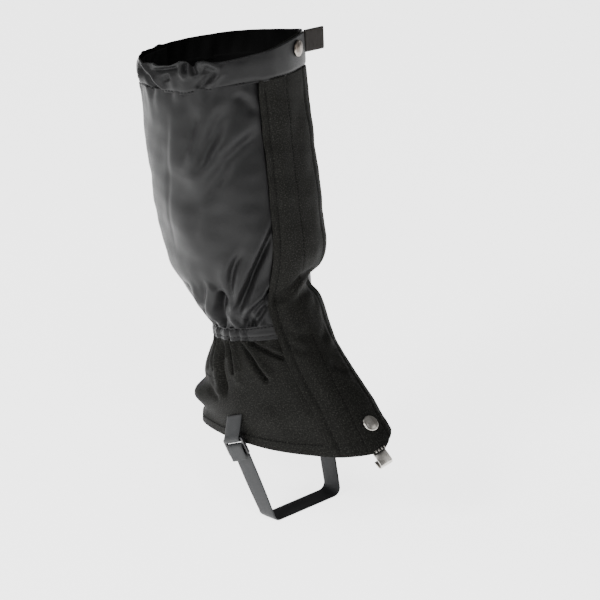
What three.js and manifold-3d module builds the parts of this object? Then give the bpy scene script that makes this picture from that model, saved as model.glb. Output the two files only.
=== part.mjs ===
// A hiking gaiter for the right leg, shaped as it is worn over a boot.
// Millimetres, +Z up. The toe points along -Y, the outer side of the leg along -X and the
// inner side along +X.
// The origin is the middle of the strap's upper face, where the arch of the boot stands on it.
import * as THREE from 'three';
import { mergeVertices } from 'three/addons/utils/BufferGeometryUtils.js';
import Module from 'manifold-3d';

const wasm = await Module();
wasm.setup();

// ---------------------------------------------------------------- driving dimensions

// Cloth and clearances
const cloth = 1.6;              // thickness of every panel
const seat = 0.3;               // gap between two pieces that touch
const tapeThickness = 1.3;      // hook tape and loop tape, each with its pile
const casingWall = 1.2;         // one wall of an elastic casing
const elasticThickness = 1.4;

// Lengths along the side of the leg, from the hem
const sideLength = 356;
const topBand = 27;             // height of the band at the rim, at the side and the back
const ankleBandStart = 95;
const ankleBand = 13;
const flapSplit = 103;          // where the shin flap meets the instep flap
const bendGap = 0.85;           // half the gap between the two flaps, which open about different lines

// The leg's outline. Each place has its front and back point (y, z) and its half width.
const hemHalfWidth = 50;
const ankleHalfWidth = 43;
const calfHalfWidth = 67;
const rimHalfWidth = 73;
const outline = [
  { at: 0, front: [-106, 83], back: [112, 62], half: hemHalfWidth },
  { at: 32, front: [-73, 115], back: [114, 86], half: hemHalfWidth },
  { at: 62, front: [-42, 144], back: [106, 113], half: (hemHalfWidth + ankleHalfWidth) / 2 + 1 },
  { at: 91, front: [-20, 168], back: [93, 146], half: ankleHalfWidth + 1 },
  { at: 106, front: [-8, 184], back: [90, 162], half: ankleHalfWidth + 1 },
  { at: 125, front: [4, 206], back: [103, 181], half: ankleHalfWidth + 6 },
  { at: 160, front: [1, 246], back: [139, 211], half: (ankleHalfWidth + calfHalfWidth) / 2 + 5 },
  { at: 220, front: [10, 302], back: [155, 270], half: calfHalfWidth + 1 },
  { at: 290, front: [23, 364], back: [162, 337], half: (calfHalfWidth + rimHalfWidth) / 2 + 2 },
  { at: 324, front: [29, 396], back: [166, 376], half: rimHalfWidth },
  { at: 356, front: [31, 426], back: [168, 404], half: rimHalfWidth },
];
const rimTilt = 1;              // the inner side of the rim stands this much above the middle
const frontRise = 9;            // the rim's peak over the free edge of the flap
const peakAngle = 28;

// The front flap: distance of its sewn edge and its free edge from the middle line
const sewnEdge = { hem: 34, ankle: 29.5, rim: 20 };
const freeEdge = { hem: 12, ankle: 29, rim: 40 };
const flapClearance = 4.2;      // room under the flap for the tapes and the press studs
const flapCorner = 10;          // height of the cut corner at the flap's lower free end
const cornerStart = 0.62;       // share of the flap's width where the cut corner starts
const hemSetback = 1.5;         // how far the hem under the flap stands back from the flap's end
const hemCorner = flapCorner + hemSetback;
const tapeSpan = [0.3, 0.7];    // shares of the flap's width that the tapes cover
const tapeMargin = 25;          // distance of each tape from the bend at the ankle
const tapeSeat = 0.5;           // gap between a curved tape and the cloth it is sewn to

// Press studs
const capRadius = 7.5;
const capHeight = 2.6;
const socketRadius = 6.5;
const studRadius = 3.2;
const studPlay = 1.2;           // room round the stud's head as the flap swings off it
const studFlangeRadius = 6;
const studNeck = 0.5;           // the stud's head is this much wider than its neck
const flange = 0.6;             // thickness of the stud's flange
const barrelRadius = 2.3;
const postRadius = 5.4;
const postPlate = 0.8;          // thickness of the post's plate inside the placket
const socketPlate = 0.4;
const capEdge = 0.8;            // height of the cap's upright edge
const capFullness = 0.6;        // below 1 the dome is fuller than a half ball
const upperSnapDrop = 3;        // distance of the upper stud below the rim's side
const lowerSnapRise = 19.6;      // distance of the lower stud above the hem
const upperSnap = { share: 0.7, at: sideLength - upperSnapDrop };
const lowerSnap = { share: 0.63, at: lowerSnapRise };

// Strap, buckle and tabs
const strapWidth = 20;
const strapThickness = 1.5;
const archHalfWidth = 36;       // half of the flat span under the boot
const archCorner = 7;           // radius where the strap turns up past the sole
const sewnBulge = 0.7;          // the panel bulges this much behind the strap's sewn ends
const hemBulge = 3.9;           // room for the strap and buckle to swing past the hem
const tabStart = { y: 31, z: 95 };   // middle of the tab's upper, sewn end
const tabEnd = { y: 28, z: 74 };     // centre of the buckle's upper bar
const barSize = 2.4;
const barPitch = 7.3;
const buckleSide = 2.6;         // width of the buckle's side rails
const tailLength = 13;
const buckleCorner = 2;
const slotCorner = 0.6;
const tabWrap = 235;            // degrees that the tab goes round the upper bar

// Pull tab and lace hook
const pullTabHeight = 20;
const pullTabLength = 25;
const pullTabLayer = 1.1;
const pullTabDrop = 10;         // distance of its middle from the rim
const pullTabGap = 0.8;         // its folded end stands this far off the flap's edge
const hookWidth = 13;
const hookSheet = 1;
const hookReach = 11;
const hookGap = 5;              // inside width of the bend, where the lace lies
const hookLip = 5;              // straight part of the hook past its bend
const hookLipTurn = 0.6;        // how far the lip turns out again
const hookRoot = 2.2;           // height of the plate's upper end above the teeth
const toothCount = 4;

// ---------------------------------------------------------------- the leg's surface

const lerp = THREE.MathUtils.lerp;
const clamp = THREE.MathUtils.clamp;
const rad = THREE.MathUtils.degToRad;

// Smooth curve through the outline's places that never overshoots them (Fritsch-Carlson).
function along(read) {
  const x = outline.map((place) => place.at);
  const y = outline.map(read);
  const slope = x.slice(1).map((value, i) => (y[i + 1] - y[i]) / (value - x[i]));
  const tangent = y.map((_, i) => {
    if (i === 0) return slope[0];
    if (i === y.length - 1) return slope[i - 1];
    const before = slope[i - 1];
    const after = slope[i];
    return before * after <= 0 ? 0 : (2 * before * after) / (before + after);
  });
  return (at) => {
    const last = x.length - 1;
    if (at >= x[last]) return y[last] + tangent[last] * (at - x[last]);
    if (at <= 0) return y[0] + tangent[0] * at;
    let i = 0;
    while (at > x[i + 1]) i += 1;
    const width = x[i + 1] - x[i];
    const t = (at - x[i]) / width;
    return y[i] * (1 + 2 * t) * (1 - t) ** 2 + width * tangent[i] * t * (1 - t) ** 2
      + y[i + 1] * t * t * (3 - 2 * t) + width * tangent[i + 1] * t * t * (t - 1);
  };
}

const frontY = along((place) => place.front[0]);
const frontZ = along((place) => place.front[1]);
const backY = along((place) => place.back[0]);
const backZ = along((place) => place.back[1]);
const halfWidth = along((place) => place.half);

// A point of the leg's surface. The angle is 0 at the front and grows towards the inner side.
function skin(angle, at) {
  const across = Math.sin(angle);
  const forward = Math.cos(angle);
  const lift = rimTilt * clamp((at - ankleBandStart) / (sideLength - ankleBandStart), 0, 1);
  return new THREE.Vector3(
    halfWidth(at) * across,
    (frontY(at) + backY(at)) / 2 + ((frontY(at) - backY(at)) / 2) * forward,
    (frontZ(at) + backZ(at)) / 2 + ((frontZ(at) - backZ(at)) / 2) * forward + lift * across,
  );
}

// The surface's directions at a point: round towards the inner side, up, and out.
function directions(angle, at) {
  const step = 1e-3;
  const round = skin(angle + step, at).sub(skin(angle - step, at)).normalize();
  const rise = skin(angle, at + 1).sub(skin(angle, at - 1)).normalize();
  const out = new THREE.Vector3().crossVectors(round, rise).normalize();
  return { round, rise, out, up: new THREE.Vector3().crossVectors(out, round) };
}

function offSkin(angle, at, distance) {
  return skin(angle, at).addScaledVector(directions(angle, at).out, distance);
}

function frameAt(angle, at, distance) {
  const { round, up, out } = directions(angle, at);
  return new THREE.Matrix4().makeBasis(round, up, out).setPosition(offSkin(angle, at, distance));
}

const edgeDistance = (edge, at) => (at < ankleBandStart
  ? lerp(edge.hem, edge.ankle, Math.max(at, 0) / ankleBandStart)
  : lerp(edge.ankle, edge.rim, (at - ankleBandStart) / (sideLength - ankleBandStart)));
const sewnAngle = (at) => -Math.asin(edgeDistance(sewnEdge, at) / halfWidth(at));
const freeAngle = (at) => Math.asin(edgeDistance(freeEdge, at) / halfWidth(at));
const flapAngle = (share, at) => lerp(sewnAngle(at), freeAngle(at), share);
const gapAngle = (at) => seat / halfWidth(at);
const rimAt = (angle) => sideLength + frontRise * Math.max(0, Math.cos(angle - rad(peakAngle))) ** 4;

// ---------------------------------------------------------------- geometry helpers

function meshGeometry(points, triangles) {
  const geometry = new THREE.BufferGeometry();
  const coordinates = points.flatMap((point) => [point.x, point.y, point.z]);
  geometry.setAttribute('position', new THREE.Float32BufferAttribute(coordinates, 3));
  geometry.setIndex(triangles);
  return geometry;
}

// A closed slab between two grids of points that have the same rows and columns.
function slab(inner, outer) {
  const rows = inner.length;
  const columns = inner[0].length;
  const points = [...inner.flat(), ...outer.flat()];
  const shift = rows * columns;
  const triangles = [];
  const quad = (a, b, c, d) => triangles.push(a, b, c, a, c, d);
  for (let r = 0; r < rows - 1; r += 1) {
    for (let c = 0; c < columns - 1; c += 1) {
      const a = r * columns + c;
      const b = a + columns;
      quad(shift + a, shift + a + 1, shift + b + 1, shift + b);
      quad(a, b, b + 1, a + 1);
    }
  }
  const wall = (a, b) => quad(a, b, shift + b, shift + a);
  for (let c = 0; c < columns - 1; c += 1) {
    wall(c, c + 1);
    wall((rows - 1) * columns + c + 1, (rows - 1) * columns + c);
  }
  for (let r = 0; r < rows - 1; r += 1) {
    wall((r + 1) * columns, r * columns);
    wall(r * columns + columns - 1, (r + 1) * columns + columns - 1);
  }
  return meshGeometry(points, facingOut(points, triangles));
}

// Turns the triangles round if together they enclose a negative volume.
function facingOut(points, triangles) {
  let volume = 0;
  for (let i = 0; i < triangles.length; i += 3) {
    const [a, b, c] = [0, 1, 2].map((corner) => points[triangles[i + corner]]);
    volume += a.dot(new THREE.Vector3().crossVectors(b, c));
  }
  return volume < 0 ? triangles.reverse() : triangles;
}

const evenly = (count) => Array.from({ length: count + 1 }, (_, i) => i / count);

// Heights from one end to the other, on a common ladder so that stacked layers share their facets.
const ladder = 14;
function heights(from, to) {
  const found = [from];
  for (let at = Math.ceil((from + 5) / ladder) * ladder; at < to - 5; at += ladder) found.push(at);
  return [...found, to];
}

// A sheet on the leg's surface. Both offsets and both ends may vary across it.
function sheet({ columns, rows, angle, inner, outer }) {
  const layer = (offset) => rows.map((row) => columns.map((share) => {
    const at = typeof row === 'function' ? row(share) : row;
    const distance = typeof offset === 'function' ? offset(share) : offset;
    return offSkin(angle(share, at), at, distance);
  }));
  return slab(layer(inner), layer(outer));
}

function solidOf(geometry) {
  const bare = geometry.index ? geometry.toNonIndexed() : geometry.clone();
  bare.deleteAttribute('normal');
  bare.deleteAttribute('uv');
  const merged = mergeVertices(bare, 1e-4);
  return new wasm.Manifold(new wasm.Mesh({
    numProp: 3,
    vertProperties: new Float32Array(merged.attributes.position.array),
    triVerts: new Uint32Array(merged.index.array),
  }));
}

function geometryOf(solid) {
  const { numProp, vertProperties, triVerts, numVert } = solid.getMesh();
  const points = Array.from({ length: numVert }, (_, i) => (
    new THREE.Vector3().fromArray(vertProperties, i * numProp)));
  return meshGeometry(points, Array.from(triVerts));
}

const cut = (geometry, ...tools) => geometryOf(
  tools.reduce((solid, tool) => solid.subtract(solidOf(tool)), solidOf(geometry)));
const join = (...pieces) => geometryOf(pieces.map(solidOf).reduce((a, b) => a.add(b)));

// A turned piece. The profile holds [radius, height] pairs from its inner end to its outer end.
function turned(profile, matrix, sides = 20) {
  const lathe = new THREE.LatheGeometry(profile.map(([r, h]) => new THREE.Vector2(r, h)), sides);
  return lathe.rotateX(Math.PI / 2).applyMatrix4(matrix);
}

function block(width, height, depth, matrix) {
  return new THREE.BoxGeometry(width, height, depth).applyMatrix4(matrix);
}

// A flat strip that follows a path. Each step has its middle and the direction of its width.
function ribbon(steps, width, thickness) {
  const sideOf = (step, i, sign) => {
    const before = steps[Math.max(i - 1, 0)].point;
    const after = steps[Math.min(i + 1, steps.length - 1)].point;
    const tangent = after.clone().sub(before).normalize();
    const normal = new THREE.Vector3().crossVectors(tangent, step.across).normalize();
    return [-1, 1].map((end) => step.point.clone()
      .addScaledVector(step.across, (end * width) / 2)
      .addScaledVector(normal, (sign * thickness) / 2));
  };
  return slab(steps.map((step, i) => sideOf(step, i, -1)), steps.map((step, i) => sideOf(step, i, 1)));
}

// Points of an arc about a centre, from one angle to another, in the plane of two directions.
function arc(centre, first, second, radius, from, to, count) {
  return evenly(count).map((share) => {
    const angle = rad(lerp(from, to, share));
    return centre.clone()
      .addScaledVector(first, radius * Math.cos(angle))
      .addScaledVector(second, radius * Math.sin(angle));
  });
}

// ---------------------------------------------------------------- finishes

const finish = (color, roughness, metalness = 0) => (
  new THREE.MeshStandardMaterial({ color, roughness, metalness }));
const smoothNylon = finish(0x343436, 0.55);
const coarseNylon = finish(0x272724, 0.85);
const webbing = finish(0x34302d, 0.8);
const rubberStrap = finish(0x2f3133, 0.5);
const elasticTape = finish(0x1a1a1a, 0.8);
const pileTape = finish(0x111111, 0.95);
const blackPlastic = finish(0x151515, 0.4);
const nickel = finish(0xc9c4bd, 0.25, 1);

const gaiter = new THREE.Group();
function add(name, geometry, material) {
  const mesh = new THREE.Mesh(geometry, material);
  mesh.name = name;
  gaiter.add(mesh);
}

// ---------------------------------------------------------------- panels

const back = Math.PI;
const outerSide = (share, at) => lerp(sewnAngle(at) - gapAngle(at), -back + gapAngle(at), 1 - share);
const innerSide = (share, at) => lerp(freeAngle(at) + gapAngle(at), back - gapAngle(at), share);
const bandStart = sideLength - topBand;

// Pieces that lie side by side share these heights, so that their facets match.
const shinRows = heights(flapSplit + bendGap, bandStart - seat);
const instepRows = heights(0, flapSplit - bendGap);

function addPanels() {
  const bandTop = ankleBandStart + ankleBand + seat;
  const upperRows = [bandTop, ...shinRows.filter((at) => at > bandTop + 3)];
  const clearOfEnds = (at) => at > 0 && at < ankleBandStart - 3;
  const lowerRows = [...instepRows.filter(clearOfEnds), ankleBandStart - seat];
  const sides = [['outer', outerSide, 14], ['inner', innerSide, 12]];
  for (const [side, angle, count] of sides) {
    const columns = evenly(count);
    const panel = (rows) => sheet({ columns, rows, angle, inner: 0, outer: cloth });
    const hem = (share) => (side === 'inner' ? hemCorner * clamp(1 - (share * count) / 3, 0, 1) : 0);
    add(`upper_${side}_panel`, panel(upperRows), smoothNylon);
    add(`lower_${side}_panel`, panel([hem, ...lowerRows]), coarseNylon);
  }
}

// ---------------------------------------------------------------- elastic casings

// A casing is a flat sleeve, open at both ends, with its elastic lying inside.
const casingDepth = 2 * casingWall + 2 * seat + elasticThickness;

function addCasing(name, angle, count, from, to, material) {
  const columns = evenly(count);
  const angleOf = (share) => angle(share, from);
  const ends = (low, high) => [
    (share) => from + low,
    (share) => lerp(from, to(angleOf(share)), 0.5),
    (share) => to(angleOf(share)) - high,
  ];
  const body = sheet({ columns, rows: ends(0, 0), angle, inner: 0, outer: casingDepth });
  const hollow = sheet({
    columns: [-0.03, ...columns, 1.03],
    rows: ends(casingWall, casingWall),
    angle,
    inner: casingWall,
    outer: casingDepth - casingWall,
  });
  const elastic = sheet({
    columns,
    rows: ends(casingWall + seat, casingWall + seat),
    angle,
    inner: casingWall + seat,
    outer: casingDepth - casingWall - seat,
  });
  add(`${name}_casing`, cut(body, hollow), material);
  add(`${name}_elastic`, elastic, elasticTape);
}

// The rim's casing runs from the flap's sewn edge round the back to its free edge.
function addCasings() {
  const roundTheBack = (share, at) => (
    lerp(-2 * back + freeAngle(at) + gapAngle(at), sewnAngle(at) - gapAngle(at), share));
  addCasing('rim', roundTheBack, 26, bandStart, rimAt, smoothNylon);
  addCasing('ankle', roundTheBack, 26, ankleBandStart, () => ankleBandStart + ankleBand, smoothNylon);
}

// ---------------------------------------------------------------- front closure

const flapInner = cloth + flapClearance;
const flapShares = [0.03, 0.1, 0.2, 0.3, 0.4, 0.5, 0.6, 0.7, 0.8, 0.9, 1];
const placketShares = [0.12, 0.2, 0.3, 0.4, 0.5, 0.6, 0.7, 0.8, 0.9, 1];
const tapeShares = flapShares.filter((share) => share >= tapeSpan[0] && share <= tapeSpan[1]);

// The flap lies on the outer panel at its sewn edge and rises over the closure.
const flapRise = (share) => lerp(cloth + seat, flapInner, clamp((share - 0.03) / 0.2, 0, 1));
const overFlap = (share) => flapRise(share) + cloth;

const rimOf = (share) => rimAt(flapAngle(share, sideLength));
const cornerCut = (share) => flapCorner * clamp((share - cornerStart) / (1 - cornerStart), 0, 1);

const snapFrame = ({ share, at }) => frameAt(flapAngle(share, at), at, 0);
const dish = 0.8;               // how far the curved cloth falls away under a flat disc

// A hole for the stud's barrel, through the flap or through the placket under it.
function snapHole(snap, middle) {
  const radius = barrelRadius + seat;
  const reach = cloth / 2 + 2 * dish;
  return turned([
    [0, middle - reach], [radius, middle - reach], [radius, middle + reach], [0, middle + reach],
  ], snapFrame(snap));
}

const flapMiddle = flapInner + cloth / 2;
const placketMiddle = cloth / 2;

function addFlap() {
  const angle = flapAngle;
  const flapSheet = (rows) => sheet({ columns: flapShares, rows, angle, inner: flapRise, outer: overFlap });
  add('shin_flap', flapSheet(shinRows), coarseNylon);
  const band = flapSheet([bandStart, (share) => lerp(bandStart, rimOf(share), 0.5), rimOf]);
  add('flap_band', cut(band, snapHole(upperSnap, flapMiddle)), smoothNylon);

  const instep = flapSheet([cornerCut, ...instepRows.slice(1)]);
  add('instep_flap', cut(instep, snapHole(lowerSnap, flapMiddle), ...toothSlots()), coarseNylon);

  const placket = (rows) => sheet({ columns: placketShares, rows, angle, inner: 0, outer: cloth });
  const upperPlacket = placket([...shinRows, rimOf]);
  const placketHem = (share) => cornerCut(share) + hemSetback;
  const lowerPlacket = placket([placketHem, ...instepRows.slice(1)]);
  add('upper_placket', cut(upperPlacket, snapHole(upperSnap, placketMiddle)), coarseNylon);
  add('lower_placket', cut(lowerPlacket, snapHole(lowerSnap, placketMiddle)), coarseNylon);
}

function addTapes() {
  const clearOfBend = (at) => Math.abs(at - flapSplit) > tapeMargin;
  const clearOfSnap = (at) => at > lowerSnap.at + socketRadius;
  const spans = [['upper', shinRows], ['lower', instepRows.filter(clearOfSnap)]];
  for (const [name, span] of spans) {
    const rows = span.filter(clearOfBend);
    const tape = (inner) => sheet({
      columns: tapeShares, rows, angle: flapAngle, inner, outer: inner + tapeThickness,
    });
    add(`${name}_loop_tape`, tape(cloth + tapeSeat), pileTape);
    add(`${name}_hook_tape`, tape(flapInner - tapeSeat - tapeThickness), pileTape);
  }
}

// The cap and the socket ride the flap. The stud and its post stay on the placket.
function addSnap(name, snap) {
  const frame = snapFrame(snap);
  const press = (part, profile) => add(`${name}_${part}`, turned(profile, frame), nickel);
  const capSeat = flapInner + cloth + seat;
  const socketTop = flapInner - seat - dish;
  const socketRoof = socketTop - socketPlate;
  const studSeat = cloth + seat;
  const flangeTop = studSeat + flange;
  const headTop = socketRoof - seat;
  const cavity = studRadius + studPlay;
  const dome = evenly(5).map((share) => {
    const angle = (share * Math.PI) / 2;
    const height = capSeat + capEdge + (capHeight - capEdge) * Math.sin(angle);
    return [share < 1 ? capRadius * Math.cos(angle) ** capFullness : 0, height];
  });
  press('cap', [
    [0, socketTop + seat], [barrelRadius, socketTop + seat], [barrelRadius, capSeat],
    [capRadius, capSeat], ...dome,
  ]);
  press('socket', [
    [0, socketRoof], [cavity, socketRoof], [cavity, flangeTop + seat],
    [socketRadius, flangeTop + seat], [socketRadius, socketTop], [0, socketTop],
  ]);
  press('stud', [
    [0, studSeat], [studFlangeRadius, studSeat], [studFlangeRadius, flangeTop],
    [studRadius - studNeck, flangeTop], [studRadius, headTop - studNeck],
    [studRadius - studNeck, headTop], [0, headTop],
  ]);
  const postTop = -seat - dish;
  press('post', [
    [0, postTop - postPlate], [postRadius, postTop - postPlate], [postRadius, postTop],
    [barrelRadius, postTop], [barrelRadius, cloth], [0, cloth],
  ]);
}

// ---------------------------------------------------------------- lace hook

const hookShare = 0.6;
const hookDish = 1.4;           // how far the hem falls away under the hook's flat plate

// A frame on the cut corner: x along the corner's edge, y up the flap, z out.
function hookFrame() {
  const edge = (share) => (
    offSkin(flapAngle(share, cornerCut(share)), cornerCut(share), flapInner - hookDish));
  const at = cornerCut(hookShare);
  const { out } = directions(flapAngle(hookShare, at), at);
  const x = edge(hookShare + 0.1).sub(edge(hookShare - 0.1)).projectOnPlane(out).normalize();
  const y = new THREE.Vector3().crossVectors(out, x);
  return new THREE.Matrix4().makeBasis(x, y, out).setPosition(edge(hookShare));
}

const toothShare = (tooth) => (tooth + 0.5) / toothCount - 0.5;
const toothOffsets = Array.from({ length: toothCount }, (_, tooth) => toothShare(tooth) * hookWidth);
const toothWidth = 1.4;
const toothRise = 3.4;          // height of the teeth above the flap's edge
const toothTop = hookDish + cloth + 1;
const slotDepth = 12;
const clench = { height: 2.4, thickness: 0.7, drop: 0.7, sink: 0.2 };

function toothSlots() {
  const frame = hookFrame();
  const placed = (x) => frame.clone().multiply(new THREE.Matrix4().makeTranslation(x, toothRise, 1));
  return toothOffsets.map((x) => block(toothWidth + 2 * seat, hookSheet + 2 * seat, slotDepth, placed(x)));
}

// The hook is one stamping: a plate under the flap, four clenched teeth, and a bend that takes the lace.
function addLaceHook() {
  const frame = hookFrame();
  const plateZ = -seat - hookSheet / 2;
  const inward = hookGap / 2 + hookSheet / 2;
  const side = new THREE.Vector3(1, 0, 0);
  const path = [
    new THREE.Vector3(0, toothRise + hookRoot, plateZ),
    new THREE.Vector3(0, 0, plateZ),
    ...arc(new THREE.Vector3(0, -hookReach + inward, plateZ - inward), new THREE.Vector3(0, 0, 1),
      new THREE.Vector3(0, -1, 0), inward, 0, 180, 8),
    new THREE.Vector3(0, -hookReach + inward + hookLip, plateZ - 2 * inward - hookLipTurn),
  ];
  const strip = ribbon(path.map((point) => ({ point, across: side })), hookWidth, hookSheet);
  const teeth = toothOffsets.map((x) => block(toothWidth, hookSheet, toothTop - plateZ, new THREE.Matrix4()
    .makeTranslation(x, toothRise, (toothTop + plateZ) / 2)));
  const clenches = toothOffsets.map((x) => block(toothWidth, clench.height, clench.thickness,
    new THREE.Matrix4().makeTranslation(x, toothRise - clench.drop, toothTop - clench.sink)));
  add('lace_hook', join(strip, ...teeth, ...clenches).applyMatrix4(frame), nickel);
}

// ---------------------------------------------------------------- pull tab

const pullTabAt = () => rimOf(1) - pullTabDrop;

function addPullTab() {
  const at = pullTabAt();
  const { round } = directions(freeAngle(at), at);
  const edge = (rise) => offSkin(freeAngle(at + rise), at + rise, flapInner + cloth / 2);
  const up = edge(pullTabHeight / 2).sub(edge(-pullTabHeight / 2)).normalize();
  const start = edge(0).addScaledVector(round, pullTabGap);
  // The folded webbing points straight ahead of the flap's edge and doesn't follow the leg.
  const ahead = new THREE.Vector3(1, 0, 0).projectOnPlane(up).normalize();
  const face = new THREE.Vector3().crossVectors(ahead, up).normalize();
  const fold = (pullTabLayer + seat) / 2;
  const front = start.clone().addScaledVector(face, fold);
  const rear = start.clone().addScaledVector(face, -fold);
  const turn = start.clone().addScaledVector(ahead, pullTabLength - fold - pullTabLayer / 2);
  const path = [front, ...arc(turn, face, ahead, fold, 0, 180, 6), rear];
  const across = new THREE.Vector3().crossVectors(face, ahead).normalize();
  add('pull_tab', ribbon(path.map((point) => ({ point, across })), pullTabHeight, pullTabLayer), webbing);
  // It bends about the corner that its outer layer makes with the flap.
  return { corner: start.addScaledVector(face, fold + pullTabLayer / 2), up };
}

// ---------------------------------------------------------------- strap, buckle and tabs

// The search for a place on the leg closes in a little with each round.
const searchRounds = 40;
const searchStep = 0.8;
const searchDepth = 110;

// Places on one side of the leg. The side is -1 for the outer side and 1 for the inner side.
function onSide(side, y, z, distance) {
  let at = 0;
  let angle = (side * Math.PI) / 2;
  for (let round = 0; round < searchRounds; round += 1) {
    const here = offSkin(angle, at, distance);
    at += (z - here.z) * searchStep;
    angle += (side * (y - here.y)) / searchDepth;
  }
  return offSkin(angle, at, distance);
}

const barWrap = (barSize / 2) * Math.SQRT2 + seat + strapThickness / 2;

function strapPlaces(side) {
  const stand = cloth + strapThickness / 2;
  const sewn = onSide(side, tabStart.y, tabStart.z, stand + sewnBulge);
  const bar = onSide(side, tabEnd.y, tabEnd.z, stand + hemBulge + (side < 0 ? barWrap : 0));
  const corner = new THREE.Vector3(side * (archHalfWidth + archCorner), 0, archCorner - strapThickness / 2);
  const up = bar.clone().sub(corner).normalize();
  const out = new THREE.Vector3(side, 0, 0).addScaledVector(up, -side * up.x).normalize();
  const across = new THREE.Vector3().crossVectors(up, out).normalize();
  return { sewn, bar, corner, up, out, across };
}

// The strap's steps from the arch's corner up to a point, turning its width from flat to slanted.
function strapRise(side, places, end, count) {
  const slanted = places.across;
  const level = new THREE.Vector3(0, Math.sign(slanted.y), 0);
  const turn = arc(new THREE.Vector3(side * archHalfWidth, 0, archCorner - strapThickness / 2),
    new THREE.Vector3(0, 0, -1), new THREE.Vector3(side, 0, 0), archCorner, 0, 80, 5);
  const start = turn[turn.length - 1];
  const steps = turn.map((point) => ({ point, across: level }));
  for (const share of evenly(count).slice(1)) {
    const twist = clamp(share * 2, 0, 1);
    steps.push({
      point: start.clone().lerp(end, share),
      across: level.clone().lerp(slanted, twist).normalize(),
    });
  }
  return steps;
}

function addStrap() {
  const outer = strapPlaces(-1);
  const inner = strapPlaces(1);
  const midBar = outer.bar.clone().addScaledVector(outer.up, -barPitch);

  // Outer end: up behind the lower bar, round the middle bar, and down outside as the tail.
  const behind = midBar.clone().addScaledVector(outer.out, -barWrap);
  const rise = strapRise(-1, outer, behind, 6);
  const round = arc(midBar, outer.out, outer.up, barWrap, 180, 0, 8)
    .map((point) => ({ point, across: outer.across }));
  const tail = [0.5, 1].map((share) => ({
    point: midBar.clone().addScaledVector(outer.out, barWrap).addScaledVector(outer.up, -tailLength * share),
    across: outer.across,
  }));
  // Inner end: straight up onto the panel, where it is sewn.
  const innerRise = strapRise(1, inner, inner.bar, 6);
  innerRise.push({ point: inner.sewn, across: inner.across });
  const steps = [...innerRise.reverse(), ...rise, ...round.slice(1), ...tail];
  // The width has to keep one sense along the whole strap.
  const first = steps[0].across.clone();
  for (const step of steps) if (step.across.dot(first) < 0) step.across = step.across.clone().negate();
  add('underfoot_strap', ribbon(steps, strapWidth, strapThickness), rubberStrap);

  // The tab hangs from its sewn end and closes round the buckle's upper bar.
  const entry = outer.bar.clone().addScaledVector(outer.out, barWrap);
  const tabSteps = [
    outer.sewn,
    outer.sewn.clone().lerp(entry, 0.7),
    ...arc(outer.bar, outer.out, outer.up, barWrap, 20, -tabWrap, 12),
  ].map((point) => ({ point, across: outer.across }));
  add('strap_tab', ribbon(tabSteps, strapWidth, strapThickness), rubberStrap);

  // A plain three-bar slide.
  const railX = strapWidth / 2 + seat + buckleSide;
  const railY = barPitch + barSize / 2;
  const plate = roundedRectangle(railX, railY, buckleCorner);
  const slotX = strapWidth / 2 + seat;
  const slotY = (barPitch - barSize) / 2;
  for (const middle of [-0.5, 0.5]) {
    plate.holes.push(roundedRectangle(slotX, slotY, slotCorner, middle * barPitch));
  }
  const slide = new THREE.ExtrudeGeometry(plate, { depth: barSize, bevelEnabled: false, curveSegments: 4 })
    .translate(0, 0, -barSize / 2)
    .applyMatrix4(new THREE.Matrix4().makeBasis(outer.across, outer.up,
      new THREE.Vector3().crossVectors(outer.across, outer.up)).setPosition(midBar));
  add('buckle', slide, blackPlastic);
  return { outer, inner };
}

function roundedRectangle(halfX, halfY, radius, middleY = 0) {
  const shape = new THREE.Shape();
  shape.moveTo(halfX - radius, middleY - halfY);
  shape.absarc(halfX - radius, middleY - halfY + radius, radius, -Math.PI / 2, 0);
  shape.absarc(halfX - radius, middleY + halfY - radius, radius, 0, Math.PI / 2);
  shape.absarc(-halfX + radius, middleY + halfY - radius, radius, Math.PI / 2, Math.PI);
  shape.absarc(-halfX + radius, middleY - halfY + radius, radius, Math.PI, 1.5 * Math.PI);
  shape.closePath();
  return shape;
}

// ---------------------------------------------------------------- assembly

addPanels();
addCasings();
addFlap();
addTapes();
addSnap('upper_snap', upperSnap);
addSnap('lower_snap', lowerSnap);
addLaceHook();
const tab = addPullTab();
const strap = addStrap();

// The lines that the moving pieces turn about: a point and a direction for each.
const hingeOffset = cloth + seat + cloth / 2;
const hinge = (from, to) => ({ point: from, direction: to.clone().sub(from).normalize() });
const seamPoint = (at) => offSkin(sewnAngle(at), at, hingeOffset);
gaiter.userData.hinges = {
  shin_flap: hinge(seamPoint(flapSplit), seamPoint(sideLength)),
  instep_flap: hinge(seamPoint(0), seamPoint(flapSplit)),
  pull_tab: { point: tab.corner, direction: tab.up },
  strap: hinge(strap.outer.sewn, strap.inner.sewn),
};

export default gaiter;
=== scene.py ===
import math

import bpy
import numpy as np
from mathutils import Matrix, Vector


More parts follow.
